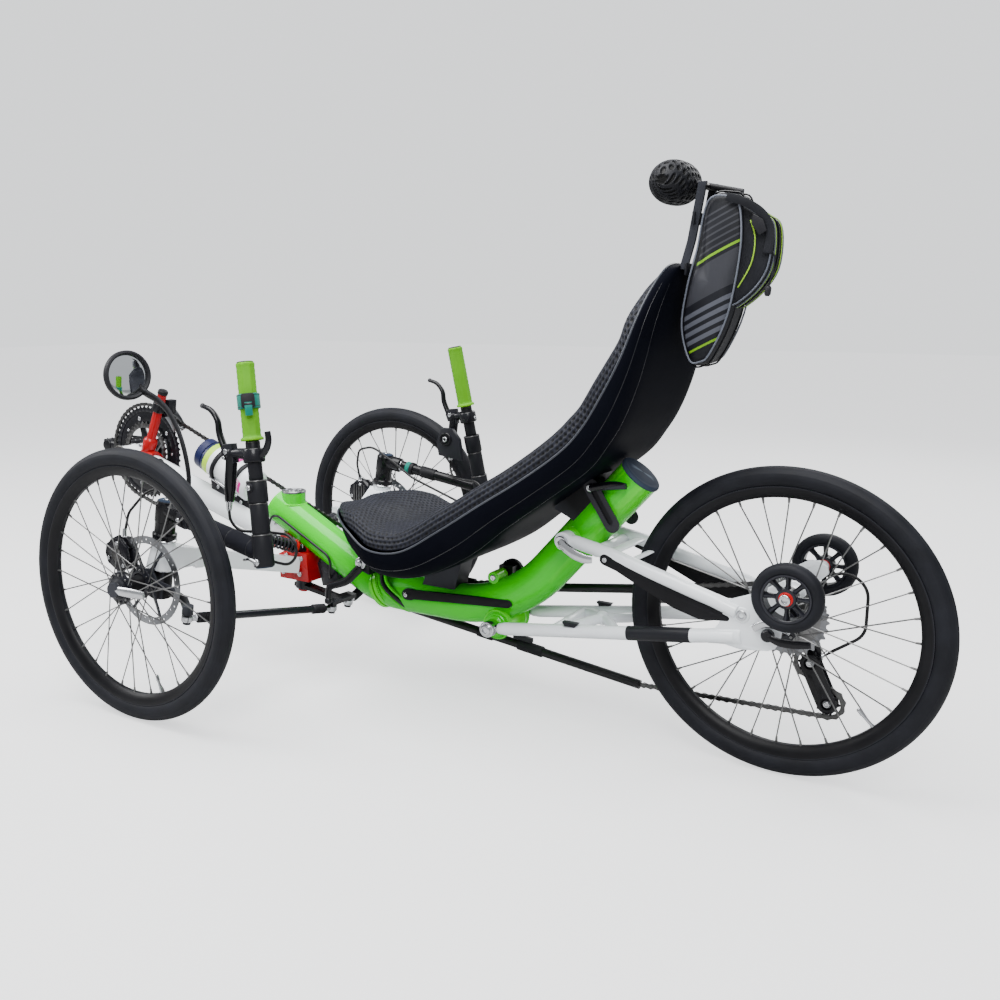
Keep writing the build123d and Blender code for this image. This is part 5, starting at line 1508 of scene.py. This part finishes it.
def chain_mesh(path):
    """Links along a line of (x, z) places."""
    places = [spot(x, CHAIN_Y, z) for x, z in path]
    found = []
    for unit, first in ((outer_link, 0), (inner_link, 1)):
        line = bpy.data.meshes.new("chain line")
        line.from_pydata(places, [(i, i + 1) for i in range(len(places) - 1)], [])
        found.append(repeated(line_tree, line, Unit=unit, Pitch=PITCH * MM, First=first, Every=2,
                              Finish=chain_steel))
    return found


RING_WRAP, COG_WRAP, JOCKEY_WRAP = 109, 50, 22
GUIDE, TENSION = (-34, 168), (-62, 108)
front_run = [(826, 255.6)] + arc(BB_X, BB_Z, RING_WRAP, 112.5, -73.4, 60) + [(1110, 172), (1096, 172)]
rear_run = (
    [(258, 243)] + arc(0, WHEEL_RADIUS, COG_WRAP, 78.5, 227.4) + arc(*GUIDE, JOCKEY_WRAP, 47.4, -71.5)
    + arc(*TENSION, JOCKEY_WRAP, 108.5, 275) + [(240, 75), (252, 77)])
idler_run = [(574, 205)] + arc(488, 240, 26, 290, 255, 6) + [(432, 217)]
chain = Piece("roller_chain")
for run in (front_run, rear_run, idler_run):
    for mesh in chain_mesh(run):
        chain.copies(mesh, chain_steel)
chain.build("frame", "steel", "chain")
for unit in (outer_link, inner_link):
    bpy.data.objects.remove(unit)

# %% chain tubes and idler
dress(tube_plastic, "chain_tubes")
hanger = Piece("tube_hanger")
tube_run = (spot(720, CHAIN_Y, 134) - spot(240, CHAIN_Y, 75)).normalized()
for start, length in ((424, 50), (526, 32)):
    sleeve_at = spot(start, CHAIN_Y, 75 + (start - 240) * 59 / 480)
    hanger.turned(sleeve_at, tube_run, ((0, 7.6), (0, 9.6), (2, 10.2), (length - 2, 10.2), (length, 9.6),
                                        (length, 7.6)), matt_plastic, 24)
hanger.plate([[(455, 106), (471, 106), (481, 152), (465, 152)]], CHAIN_Y - 1.6, CHAIN_Y + 1.6, matt_plastic)
hanger.plate([[(446, 111), (483, 115), (483, 123), (446, 119)]], CHAIN_Y - 5, CHAIN_Y + 5, matt_plastic)
hanger.hoop(spot(473, CHAIN_Y + 2.4, 163), flat_ring(15.6, 18.2, 4), matt_plastic, 40)
hanger.build("frame", "black_plastic", bevel=0.4)
idler = Piece("idler_wheel")
idler_at = spot(488, CHAIN_Y, 240)
idler.hoop(idler_at, ((9, -4), (15, -4), (17, -5), (21, -5), (21.9, -4.2), (21.9, 4.2), (21, 5), (17, 5),
                      (15, 4), (9, 4)), matt_plastic, 64)
idler.hoop(idler_at, flat_ring(5.4, 9.4, 5), steel, 36)
idler.build("idler", "black_plastic", "idler", bevel=0.2)

# %% [markdown]
# ## Derailleurs
# The rear one hangs from the right dropout: a body, a parallelogram and a cage with two small toothed
# wheels. The front one is clamped to the red mast and guides the chain between two curved plates.

# %% rear derailleur
rear_mech = Piece("rear_changer")
cage = []
for x, z, start in ((*GUIDE, -25), (*TENSION, 155)):
    cage += arc(x, z, 15, start, start + 180, 10)
holes = [circle(x, z, 9, 14) for x, z in (GUIDE, TENSION)]
rear_mech.plate([cage], CHAIN_Y - 9, CHAIN_Y - 6.6, black_gloss)
rear_mech.plate([cage, *holes], CHAIN_Y + 6.2, CHAIN_Y + 8, black_gloss)
for x, z in (GUIDE, TENSION):
    at = spot(x, CHAIN_Y, z)
    set_teeth(rear_mech, 19, 6, 4, matt_plastic, at)
    rear_mech.turned(at, LEFT, ((-6.6, 6), (6.4, 6)), steel, 16)
    rear_mech.bolt(spot(x, CHAIN_Y + 7.6, z), LEFT, 5, silver, 2)
    rear_mech.bolt(spot(x, CHAIN_Y - 8.6, z), -LEFT, 5, silver, 2)
rear_mech.plate([((-16, 200), (-4, 212), (-8, 226), (-20, 224), (-44, 192), (-48, 170), (-42, 158),
                  (-26, 156), (-22, 176))], CHAIN_Y - 18.4, CHAIN_Y - 10.4, black_gloss)
rear_mech.plate([((-14, 202), (-6, 214), (-14, 220), (-38, 190), (-40, 170), (-30, 166))], CHAIN_Y - 20,
                CHAIN_Y - 18, dark_steel)
rear_mech.turned(spot(*GUIDE[:1], CHAIN_Y - 12.5, 172), LEFT, ((0, 10), (4, 10)), black_gloss, 24)
rear_mech.turned(spot(-46, CHAIN_Y - 14.5, 176), (-0.7, -0.28, 0.65),
                 ((-4, 3.6), (2, 3.6), (3, 3), (12, 3), (13, 2.6)), silver, 14)
rear_mech.bolt(spot(-10, CHAIN_Y - 19, 216), -LEFT, 6, silver, 2)
rear_mech.build("frame", "black_alloy", "rear_derailleur", bevel=0.4)

# %% mast and front derailleur
mast_foot, mast_top = spot(1381, 0, 398), spot(1327, 0, 530)
mast_run = (mast_top - mast_foot).normalized()
mast = Piece("red_mast")
mast.turned(mast_foot, mast_run, ((-6, 0), (-6, 14), (0, 15.5), (24, 15.5), (28, 14), (31, 10.2),
                                  (138, 10.2), (141, 10)), red_paint, 36)
mast.turned(
    mast_foot, mast_run, ((138, 11), (139, 11.6), (145, 11.2), (147, 9.5), (147, 0)), matt_plastic, 28)
boom_run = (spot(BB_X, 0, BB_Z) - spot(978, 0, 245)).normalized()
mast.turned(spot(978, 0, 245), boom_run,
            ((406, 25.3), (406, 30.5), (408, 31.5), (436, 31.5), (438, 30.5), (438, 25.3)), red_paint, 44)
for out in (-1, 1):
    mast.bolt(spot(1385, out * 18, 411), LEFT * out, 4.5, silver)
mast.build("frame", "red_anodised", "derailleur_mast", bevel=0.4)

front_mech = Piece("front_changer")
for low, high in ((-61.5, -59.4), (-37, -35)):
    inner = arc(BB_X, BB_Z, 112, 128, 152, 8)
    outer = arc(BB_X, BB_Z, 130, 152, 128, 8)
    front_mech.plate([inner + outer], low, high, steel)
front_mech.plate(
    [((1344, 472), (1358, 478), (1351, 504), (1338, 512), (1322, 511), (1326, 482))], -35, -13, black_gloss)
front_mech.plate([((1346, 484), (1352, 488), (1346, 502), (1334, 505), (1334, 488))], -39, -35, dark_steel)
front_mech.turned(mast_top, mast_run,
                  ((-46, 10.4), (-46, 14), (-45, 15), (-27, 15), (-26, 14), (-26, 10.4)), black_gloss, 32)
front_mech.turned(spot(1329, -60, 446), LEFT, ((0, 3.2), (24, 3.2)), steel, 14)
front_mech.bolt(spot(1334, -8, 500), (1, 0, 0.2), 4, silver, 8)
front_mech.bolt(spot(1343, -36, 498), -LEFT, 3.6, silver, 5)
front_mech.build("frame", "black_alloy", "front_derailleur", bevel=0.35)

# %% [markdown]
# ## Bottle
# A white bottle in a black cage on top of the boom, with a navy screw cap, a lime band under it and
# magenta patches for a label. It is blow-moulded, so its body has a waist and two shallow ribs.

# %% bottle and cage
bottle_tail, bottle_nose = spot(1062, 0, 345), spot(1207, 0, 408)
bottle_run = (bottle_nose - bottle_tail).normalized()
bottle = Piece("drinking_bottle")
for profile, coat in ((((0, 0), (0, 28), (2, 33), (6, 35.4), (40, 35.4), (44, 34.4), (48, 35.4), (70, 35.4),
                        (76, 34), (92, 34), (98, 35.4), (114, 35.4)), bottle_white),
                      (((113.5, 35.4), (125, 35.4), (129, 34.6)), bottle_lime),
                      (((128, 34.8), (134, 34.2), (138, 31)), bottle_navy),
                      (((136, 32), (137, 34), (154, 33.4), (157, 30), (158, 14), (159, 12), (170, 11),
                        (171, 9), (171, 0)), bottle_navy)):
    bottle.turned(bottle_tail, bottle_run, profile, coat, 56)
side, other = across_axis(bottle_run)
PATCH_OUTSIDE, PATCH_INSIDE = 35.75, 35.2
for start, low, high in ((0.3, 52, 66), (2.3, 12, 36), (3.6, 50, 66), (4.9, 14, 34), (1.3, 14, 36)):
    patch = []
    for along in (low, high):
        turns = [start + 0.09 * i + (along - low) * 0.012 for i in range(9)]
        edge = [(turn, PATCH_OUTSIDE) for turn in turns] + [
            (turn, PATCH_INSIDE) for turn in reversed(turns)]
        patch.append(
            [bottle_tail + (bottle_run * along + (side * cos(turn) + other * sin(turn)) * reach) * MM
             for turn, reach in edge])
    bottle.skin(patch, bottle_magenta)
bottle.build("frame", "bottle_white", "bottle")

cage_piece = Piece("bottle_cage_dressed")
cage_up = Vector((-bottle_run.z, 0, bottle_run.x))
for along in (28, 92):
    cage_piece.turned(
        bottle_tail, bottle_run, ((along, 36.4), (along, 38.6), (along + 1, 39.2), (along + 8, 39.2),
                                  (along + 9, 38.6), (along + 9, 36.4)), matt_plastic, 56)
for out in (-1, 1):
    rail = [bottle_tail + (bottle_run * along - cage_up * 27 + LEFT * out * 27) * MM
            for along in (20, 60, 104)]
    cage_piece.bar(curved(rail), 3, silver, 10)
cage_piece.plate([((1078, 292), (1180, 322), (1184, 356), (1176, 362), (1150, 350), (1110, 334),
                   (1078, 322), (1070, 310))], -8, 8, matt_plastic)
cage_piece.bolt(spot(1096, 8.5, 312), LEFT, 4, silver)
cage_piece.bolt(spot(1160, 8.5, 338), LEFT, 4, silver)
cage_piece.build("frame", "black_plastic", "bottle_cage", bevel=0.4)

# %% [markdown]
# ## Frame
# The backbone is one hydroformed aluminium tube in gloss lime paint. It folds at a cast joint: two
# flanges, a black curved seal between them, and a clamp with a cranked lever. Welded collars carry the
# rear arm's pivots and the front bracket. The tube keeps its solid; weld beads, the seal, guard strips
# and screws are modelled over it, because those are what make a welded frame look welded.

# %% painted solids
dress(lime_paint, "main_frame", "frame_nose")
dress(white_paint, "boom", "front_arms")
dress(black_satin, "knuckle_left", "knuckle_right", "seat_mounts")
dress(red_paint, "axle_bracket")
dress(black_gloss, "bellcrank")


# %% welds and collars on the backbone
def weld(made, centre, axis, radius, coat, size=2.4, ripples=44):
    """A weld bead round a joint, with the ripples the torch leaves."""
    side, other = across_axis(Vector(axis).normalized())
    steps = ripples * 3
    line = [centre + (side * cos(2 * pi * i / steps) + other * sin(2 * pi * i / steps)) * radius * MM
            for i in range(steps)]
    made.bar(line, [size * (0.86 + 0.14 * cos(2 * pi * i / 3)) for i in range(steps)], coat, 8, ring=True)


PIVOT_X, PIVOT_Z = 473, 163
LUG_X, LUG_Z = 333, 337
welds = Piece("frame_details")
for side in (-1, 1):
    out = LEFT * side
    welds.turned(spot(PIVOT_X, side * 33, PIVOT_Z), out,
                 ((-8, 24.5), (2, 24.5), (3.4, 23), (3.4, 21), (8, 21), (9.2, 19.6), (9.2, 18), (14, 18),
                  (15.2, 16.6), (16.6, 16.6), (16.6, 0)), lime_paint, 48)
    weld(welds, spot(PIVOT_X, side * 36, PIVOT_Z), LEFT, 24.5, lime_paint)
    weld(welds, spot(LUG_X, side * 30, LUG_Z), LEFT, 16, lime_paint)
    welds.turned(spot(LUG_X, side * 44, LUG_Z), out, ((-6, 16.5), (5, 16.5), (6, 15.5), (6, 0)),
                 lime_paint, 40)
weld(welds, spot(961, 0, 322), (0, 0, 1), 25, lime_paint)
FOLD_AXIS = Vector((cos(radians(24)), 0, -sin(radians(24))))
SEAM_UP, SEAM_AHEAD = Vector((0.6, 0, 0.8)), Vector((0.8, 0, -0.6))
for shift, size, coat in ((0, 5.2, black_gloss), (-8.6, 3.4, lime_paint), (8.6, 3.4, lime_paint)):
    seam = []
    for i in range(96):
        height = cos(2 * pi * i / 96)
        bulge = 8 * (1 - height ** 2) - 4 + 5 * sin(pi * height)
        seam.append(spot(700, 0, 190) + (SEAM_UP * 50.5 * height + LEFT * 36.6 * sin(2 * pi * i / 96)
                                         + SEAM_AHEAD * (bulge + shift)) * MM)
    welds.bar(seam, size, coat, 12, ring=True)
for shift in (9, -9):
    weld(welds, spot(736, 0, 184) + FOLD_AXIS * shift * MM, FOLD_AXIS, 36.2, lime_paint, 3.0, 60)
TAIL = Vector((-231, 0, 265)).normalized()
for side in (-1, 1):
    welds.turned_out(side, (492, 15.8, 240), ((0, 11), (1.2, 11), (1.8, 10), (1.8, 5.5), (0.6, 5)),
                 lime_paint, 32)
    welds.bolt_out(side, (492, 16, 240), 5.2, silver, 3.4)
welds.build("frame", "lime_paint", bevel=0.0)


# %% guard strips
def strip_outline(line, widths):
    """A plate's outline round a line: square sides and half round ends."""
    line = [Vector((u, w)) for u, w in line]
    left, right = [], []
    for i, (here, width) in enumerate(zip(line, widths)):
        run = (line[min(i + 1, len(line) - 1)] - line[max(i - 1, 0)]).normalized()
        across_run = Vector((-run.y, run.x)) * width
        left.append(here + across_run)
        right.append(here - across_run)
    ends = []
    for here, there, width in ((line[-1], line[-2], widths[-1]), (line[0], line[1], widths[0])):
        run = (here - there).normalized()
        normal = Vector((-run.y, run.x))
        ends.append([here + (normal * cos(t) + run * sin(t)) * width
                     for t in [pi * k / 10 for k in range(1, 10)]])
    return [tuple(p) for p in left + ends[0] + right[::-1] + ends[1]]


guards = Piece("guard_strips")
for side in (-1, 1):
    rows = curved(
        [(x, side, z) for x, z in ((662, 188), (610, 192), (560, 195.6), (500, 199.8), (452, 203))], 8)
    main_strip = strip_outline([(p.x, p.z) for p in rows],
                               [10.5 if i < 3 else 8.6 - 1.6 * i / len(rows) for i in range(len(rows))])
    guards.plate([main_strip], *outboard(side, 30, 38.6), matt_plastic)
    guards.bolt_out(side, (664, 38.4, 187), 4.2, silver, 2.6)
    stay_strip = strip_outline(
        [(258, 317), (236, 309), (188, 289), (140, 270), (100, 258), (62, 254)], [9, 8, 11, 14, 13, 4])
    guards.plate([stay_strip], *outboard(side, 64, 76), matt_plastic)
    guards.bolt_out(side, (258, 75.6, 317), 4.2, silver, 2.6)
guards.build("frame", "black_plastic", "guards", bevel=1.2)

# %% tube cap
cap = Piece("tube_cap")
cap.turned(spot(233, 0, 445), TAIL, ((-3, 34.4), (0, 36.4), (3.4, 36.2), (5, 35), (5.8, 33), (5.4, 30.5),
                                     (6.2, 27), (7.2, 16), (7.6, 0)), slate_plastic, 72)
cap.build("frame", "slate_cap", "end_cap")

# %% [markdown]
# ## Clamp at the fold
# The joint is shut by an over-centre clamp: a forged black block with a chrome adjusting screw on top
# and a long cranked lever that hangs beside the tube. The lever's crank and the screw catch the light
# from the rider's left, so they are made here instead of staying plain solids.

# %% fold clamp
clamp = Piece("fold_lever")
clamp.turned(spot(760, -16, 236), (0, 1, 0), ((0, 0), (0, 10), (2, 12), (58, 12), (61, 10), (61, 0)),
             black_gloss, 32)
clamp.plate([[(744, 214), (762, 220), (774, 236), (768, 250), (752, 250), (742, 236)]], 20, 44, black_gloss)
clamp.turned(spot(760, 46, 236), (0, 1, 0),
             ((-3, 12), (3, 12), (5, 10.5), (5, 6), (8, 5.6), (8.6, 4.4), (8.6, 0)), silver, 28)
clamp.turned(spot(760, 30, 252), (0.1, 0, 1),
             ((-4, 9), (5, 9), (7, 7.5), (7, 4), (11, 3.8), (11.6, 2.8), (11.6, 0)), silver, 24)
clamp.bar(curved(route((760, 47, 229), (776, 50, 212), (792, 50, 197), (812, 50, 188), (832, 50, 180),
                       (837, 50, 167), (837, 50, 153)), 5), (9, 6.4), black_gloss, 14, up=LEFT, flat=0.72)
clamp.ball(spot(837, 50, 151), 7.6, black_gloss)
clamp.build("frame", "black_alloy", "fold_clamp", bevel=0.6)

# %% [markdown]
# ## Front bracket, beam and suspension
# Ahead of the fold a red anodised bracket holds the leaning beam: box arms run out to each steering
# head, and a short coil damper on each side ties the arm to the bracket. The steering bell crank hangs
# below it and pushes two black track rods with chrome ball joints. Coils, nuts and the ribs of the
# rod sleeves are what the eye looks for here.


# %% coil dampers
def helix(start, end, radius, turns, steps=18):
    """A coil's centre line, its last turns lying flat as ground springs do."""
    run = end - start
    side, other = across_axis(run.normalized())
    count = int(turns * steps)
    line = []
    for i in range(count + 1):
        share = i / count
        eased = min(max((share - 0.07) / 0.86, 0), 1) * 0.94 + share * 0.06
        turn = 2 * pi * turns * share
        line.append(start + run * eased + (side * cos(turn) + other * sin(turn)) * radius * MM)
    return line


dampers = Piece("coil_dampers")
for side in (-1, 1):
    inner_end, outer_end = spot(918, side * 26, 238), spot(958, side * 132, 282)
    run = (outer_end - inner_end).normalized()
    dampers.turned(inner_end, run, ((-6, 0), (-6, 6), (4, 7), (16, 7.4), (18, 12.4), (22, 12.4), (22, 6.4),
                                    (80, 6.4), (80, 14.8), (90, 15.6), (92, 13), (92, 9), (108, 8),
                                    (112, 5), (112, 0)), black_gloss, 28)
    dampers.bar(helix(inner_end + run * 23 * MM, inner_end + run * 79 * MM, 11.2, 7.5), 2.1, black_satin, 9)
    dampers.turned(
        inner_end, run, ((17, 13.4), (19, 13.8), (22.5, 13.8), (22.5, 12.2), (17, 12.2)), red_paint, 28)
    dampers.bolt(inner_end + Vector((0, side * 0.004, 0.006)), (0, side, 0.3), 5.2, silver, 3.2)
    dampers.bolt(outer_end + Vector((-0.006, side * 0.004, 0.004)), (-1, 0, 0.2), 5.4, silver, 3.4)
dampers.build("frame", "black_alloy", "shocks")

# %% bolts, knob and beam end
fittings = Piece("bracket_fittings")
for x, z in ((949, 224), (912, 222), (958, 190), (916, 190)):
    for side in (-1, 1):
        fittings.bolt_out(side, (x, 38, z), 5.6, silver, 3.6, socket=False)
for side in (-1, 1):
    fittings.bolt_out(side, (932, 24, 250), 6.4, red_paint, 4.2)
    fittings.turned_out(side, (1000, 9, 241), ((-9, 7), (4, 7), (6, 8.4), (14, 8.4), (15, 7), (15, 0)),
                    red_paint, 20)
fittings.plate([[(986, 226), (1012, 226), (1016, 244), (1000, 256), (986, 248)]], -9, 9, red_paint)
fittings.plate([[(832, 175), (873, 169), (885, 212), (874, 235), (844, 227)]], -21.6, 21.6, black_gloss)
fittings.turned(
    spot(958, 30, 254), LEFT, ((-8, 12), (8, 12), (10, 10), (10, 5), (8, 4), (8, 0)), red_paint, 28)
fittings.turned(spot(961, 0, 345), (0, 0, 1), ((0, 24.6), (3, 24.6), (4.4, 23), (4.4, 18), (2.6, 17),
                                               (2.6, 12), (4.6, 11), (4.6, 4), (2, 3), (2, 0)), steel, 48)
for reach in (8, -8):
    fittings.bar(route((846, reach, 196), (806, reach, 186), (790, reach, 182)), 4.2, silver, 14)
for z in (236, 280):
    fittings.bar(route((992, -22.5, z), (992, 22.5, z)), 3.4, silver, 12)
fittings.build("frame", "red_anodised", bevel=0.7)

# %% steering head cups
cups = Piece("steering_head_cups")
for side in (-1, 1):
    for cup in (((14.8, 19), (14.8, 21), (16, 22.6), (18.4, 22.6), (20, 21), (20.2, 19)),
                ((67.8, 19), (68, 21), (69.4, 22.6), (71.6, 22.6), (73, 21), (73.2, 19))):
        cups.turned(kingpin(side), KING_UP, cup, silver, 40)
cups.build("frame", "black_alloy", "headset_cups")


# %% [markdown]
# ## Knuckles and track rods
# Each steering knuckle carries its wheel on a stub axle closed by a silver quick release. The track
# rods are black tubes with ribbed rubber boots over their threads and a chrome ball joint at each end.

# %% quick releases on the stub axles
for word, side in SIDES:
    quick = Piece(f"hub_release_{word}")
    quick.turned_out(side, (WHEELBASE, 436, WHEEL_RADIUS),
                     ((-2, 11.5), (3, 12.6), (6, 12), (7.4, 9.6), (7.8, 5), (8.6, 3), (8.6, 0)), silver, 32)
    quick.bar(curved(route((WHEELBASE + 2, 443.5, 240), (WHEELBASE - 22, 444.5, 240.5),
                           (WHEELBASE - 48, 443.5, 241), (WHEELBASE - 72, 442, 241), side=side), 6),
              swollen(6.4, 1.8, 19), silver, 12, up=LEFT, flat=0.42)
    quick.build(f"knuckle_{word}", "chrome", bevel=0.0)

# %% track rods
STEERING_ARM, ROD_UNDER = 95.6, 13
for word, side in SIDES:
    outer_joint = kingpin(side, -28.4, -STEERING_ARM, 26) - KING_UP * ROD_UNDER * MM
    inner_joint = (spot(939.4, side * 26, 157) - KING_AHEAD * STEERING_ARM * MM - KING_UP * ROD_UNDER * MM)
    run = (outer_joint - inner_joint).normalized()
    length = (outer_joint - inner_joint).length / MM
    rod = Piece(f"track_rod_{word}")
    rod.turned(inner_joint, run, ((8, 4.6), (26, 4.6), (27, 7.3), (length - 27, 7.3), (length - 26, 4.6),
                                  (length - 8, 4.6)), black_gloss, 20)
    for joint, toward in ((inner_joint, 1), (outer_joint, -1)):
        rod.turned(
            joint, KING_UP, ((-5, 6.5), (-5, 9.4), (-3.6, 10), (3.6, 10), (5, 9.4), (5, 6.5)), silver, 24)
        rod.ball(joint, 6.6, silver)
        boots = [(22 + i * 3.4 + along, radius) for i in range(9)
                 for along, radius in ((0, 8.2), (1.2, 9.6), (2.4, 8.2))]
        rod.turned(joint, run * toward, [(21, 4.5)] + boots + [(53, 7.2)], matt_plastic, 20)
        rod.turned(joint, run * toward, ((7, 5), (11, 6.6), (18, 6.6), (19, 5), (19, 0)), silver, 6)
    rod.build(f"tie_rod_{word}", "black_alloy", f"tie_rod_{word}")

# %% [markdown]
# ## Rear arm
# The rear arm is a light fork of pearl white tubes: long flat-ended chain stays, seat stays from the
# upper lugs, two cut plates that hold the axle, an X-shaped brace low in front of the tyre and an arched
# plate between the seat stays. A plain black band wraps the left chain stay. Stub pins on the plates
# carry the parking rollers, and curved quick releases close the stays and the axle.

# %% stays and plates
ROLLER_X, ROLLER_Z = -33, 310
arm = Piece("rear_fork")
END_PLATE = [
    (92, 218), (74, 244), (66, 268), (58, 284), (38, 292), (20, 300), (-2, 314), (-18, 324), (-34, 325),
    (-46, 318), (-48, 306), (-36, 294), (-20, 272), (-16, 232), (-10, 220), (0, 215), (40, 210)]
for side in (-1, 1):
    chain_stay = route((454, 62.6, 166), (440, 63, 168), (300, 66, 189), (120, 70, 216), (92, 71, 221),
                       (70, 71.3, 224), (50, 71.4, 227), side=side)
    arm.bar(chain_stay, [9, 11, 11, 11, 10.5, 10.5, 10.5], white_paint, 22)
    arm.bar(route((92, 70.8, 221), (70, 71.4, 225), (40, 71.5, 229), side=side),
            [11, 12.5, 13], white_paint, 22, up=LEFT, flat=0.62)
    seat_stay = route((333, 62, 337), (312, 63, 336), (250, 65, 324), (190, 67.6, 307), (120, 70.5, 288),
                      (86, 72, 279), (48, 73.5, 267), side=side)
    arm.bar(seat_stay, [10.6, 11, 11, 11, 11, 11, 10.5], white_paint, 22)
    for x, z, radius, coat in ((PIVOT_X, PIVOT_Z, 14, silver), (LUG_X, LUG_Z, 15, white_paint)):
        arm.turned_out(side, (x, 50.5, z), ((0, radius - 1), (1, radius), (22.5, radius),
                                            (23.5, radius - 1), (23.5, 5)), coat, 40)
    arm.bar(route((470, 62, 163), (456, 62.5, 165.5), (449, 62.8, 166.8), side=side), [8, 6.5, 6.5], silver,
            18)
    arm.turned(spot(449, side * 62.8, 166.8), (1, 0, -0.15), ((-2, 9.4), (3, 9.4), (3, 6.6)), silver, 6)
    arm.plate([END_PLATE, circle(18, 249, 6.5, 3, 0.5), circle(-32, 310, 4, 12)],
              *outboard(side, 67.6, 75.4), white_paint)
    arm.bolt_out(side, (40, 75, 263), 8.2, silver, 4.4)
    arm.turned_out(side, (40, 74, 263), ((0, 12), (2.4, 12), (3, 11), (3, 8)), white_paint, 32)
    pin = spot(ROLLER_X, side * 67.5, ROLLER_Z)
    arm.turned(pin, LEFT * side, ((0, 11), (20, 10.6), (32, 10), (32.5, 9), (32.5, 5)), white_paint, 28)
    arm.turned(pin, LEFT * side, ((32, 4.9), (60, 4.9), (60, 8), (63, 8.2), (64.2, 7), (64.2, 4), (62, 3.6),
                                  (62, 0)), silver, 24)
arm.turned(spot(219, 67.4, 201.4), Vector((1, -0.02, -0.15)),
           ((-104, 10.9), (-104, 11.7), (0, 11.7), (0, 10.9)), black_satin, 30)
for side in (-1, 1):
    arm.plate(
        [[(326, 196), (308, 196), (303, 203), (331, 203)]], *outboard(side, 63.24, 75.64), black_satin)
print("rear fork:", len(arm.faces), "faces")

# %% braces between the stays
for side in (-1, 1):
    brace = route((352, 62, 181), (330, 48, 186), (300, 14, 195), (290, 0, 197), (272, -16, 196),
                  (250, -44, 194), (236, -65, 198), side=side)
    arm.bar(curved(brace, 6), 8.6, white_paint, 18)
arm.ball(spot(291, 0, 197), 12.5, white_paint)
for x, z in ((352, 181), (280, 324)):
    arm.bar(route((x, -60, z), (x, 60, z)), 9, white_paint, 20)
arch = [spot(262 - 26 * sin(pi * i / 24), -62 + 124 * i / 24, 322 + 14 * sin(pi * i / 24))
        for i in range(25)]
arm.bar(arch, 12, white_paint, 14, up=Vector((0, 0, 1)), flat=0.24)
arm.bar([p - Vector((0.032, 0, 0.01)) for p in arch], 7, white_paint, 14, up=Vector((0, 0, 1)), flat=0.4)
arm.build("frame", "white_paint", "rear_arm", bevel=0.8)


# %% stay and axle fittings
releases = Piece("rear_releases")
for side in (-1, 1):
    releases.turned_out(side, (PIVOT_X, 73.5, PIVOT_Z), ((0, 11), (2, 11), (3, 9.6), (5.6, 9.6), (6.6, 8),
                                                         (6.6, 5), (4, 4), (4, 0)), silver, 28)
    releases.bolt_out(side, (LUG_X, 73.6, LUG_Z), 9.4, silver, 5.5)
    releases.bolt_out(side, (0, 75.4, WHEEL_RADIUS), 8.8, black_gloss, 4.4, socket=False)
releases.turned(spot(LUG_X, 79, LUG_Z), LEFT, ((-4, 10), (2, 10.4), (4, 9), (4, 0)), silver, 28)
releases.bar(
    curved(route((334, 81, 340), (324, 84, 331), (306, 86.5, 322), (288, 86, 317), (276, 84.5, 317)), 6),
    [5.4 + 3.2 * sin(pi * (i + 4) / 30) for i in range(25)], silver, 14, up=LEFT, flat=0.42)
releases.turned(
    spot(0, 78, WHEEL_RADIUS), LEFT, ((-2, 9), (3, 10), (7, 9), (8.6, 7), (9, 0)), black_gloss, 30)
releases.bar(curved(route((-2, 84, 239), (-18, 88, 235.5), (-40, 89.5, 236), (-63, 89.5, 239)), 8),
             swollen(4.6, 1.8, 25), black_gloss, 14, up=LEFT, flat=0.5)
releases.bar(curved(route((22, 77.6, 246), (6, 80, 256), (-14, 82, 256), (-32, 82.5, 251)), 8), 5.4, silver,
             14, up=LEFT, flat=0.3)
releases.build("frame", "chrome", "axle_fittings")

# %% [markdown]
# ## Parking rollers
# Two soft rollers behind the axle let the folded trike be wheeled about. Each is an inline-skate wheel:
# a poured rubber tread over a black eight-spoke core, turning on a bearing in a red shield. The spokes
# are one spoke copied round the axle.

# %% spoked rollers
for word, side in SIDES:
    roller = Piece(f"skate_roller_{word}")
    centre = spot(ROLLER_X, side * 113, ROLLER_Z)
    roller.hoop(centre, ((34.5, -9), (34.5, 9), (38, 11.6), (43, 12), (47, 10), (49.3, 6), (50, 0),
                         (49.3, -6), (47, -10), (43, -12), (38, -11.6)), tyre_rubber, 72)
    roller.hoop(
        centre, ((31, -10), (31, 10), (32, 11), (34.8, 11), (34.8, -11), (32, -11)), black_gloss, 64)
    roller.hoop(centre, ((9.4, -11), (9.4, 11), (13.6, 11), (14.6, 9.6), (14.6, -9.6), (13.6, -11)),
                black_gloss, 40)
    roller.hoop(
        centre, ((5.8, -11.8), (5.8, 11.8), (9.6, 12), (10.2, 11), (10.2, -11), (9.6, -12)), red_paint, 32)
    spoke = Piece("roller_spoke")
    spoke.bar([upright(13.6, 0, 0), upright(20, 0, 0), upright(32, 0, 0)], [4.4, 3.4, 4.6], black_gloss, 10,
              up=LEFT, flat=1.7)
    set_round(roller, spoke, 8, black_gloss, centre)
    roller.build(f"roller_{word}", "black_plastic", f"roller_{word}")

# %% strap plates and lever at the seat
seat_lever = Piece("seat_lever")
for side in (-1, 1):
    loop = strip_outline([(300, 426), (262, 366)], [12.5, 12.5])
    slot = strip_outline([(296, 420), (265, 371)], [4.6, 4.6])
    seat_lever.plate([loop, slot], *outboard(side, 38.8, 41.6), matt_plastic)
    seat_lever.bolt_out(side, (300, 43.6, 424), 6.4, silver, 3.6)
seat_lever.bar(curved(route((300, 45, 424), (276, 46.5, 430), (256, 47, 434), (238, 47, 433)), 6),
               (6.6, 5), black_gloss, 14, up=LEFT, flat=0.5)
seat_lever.build("frame", "black_alloy", bevel=0.0)
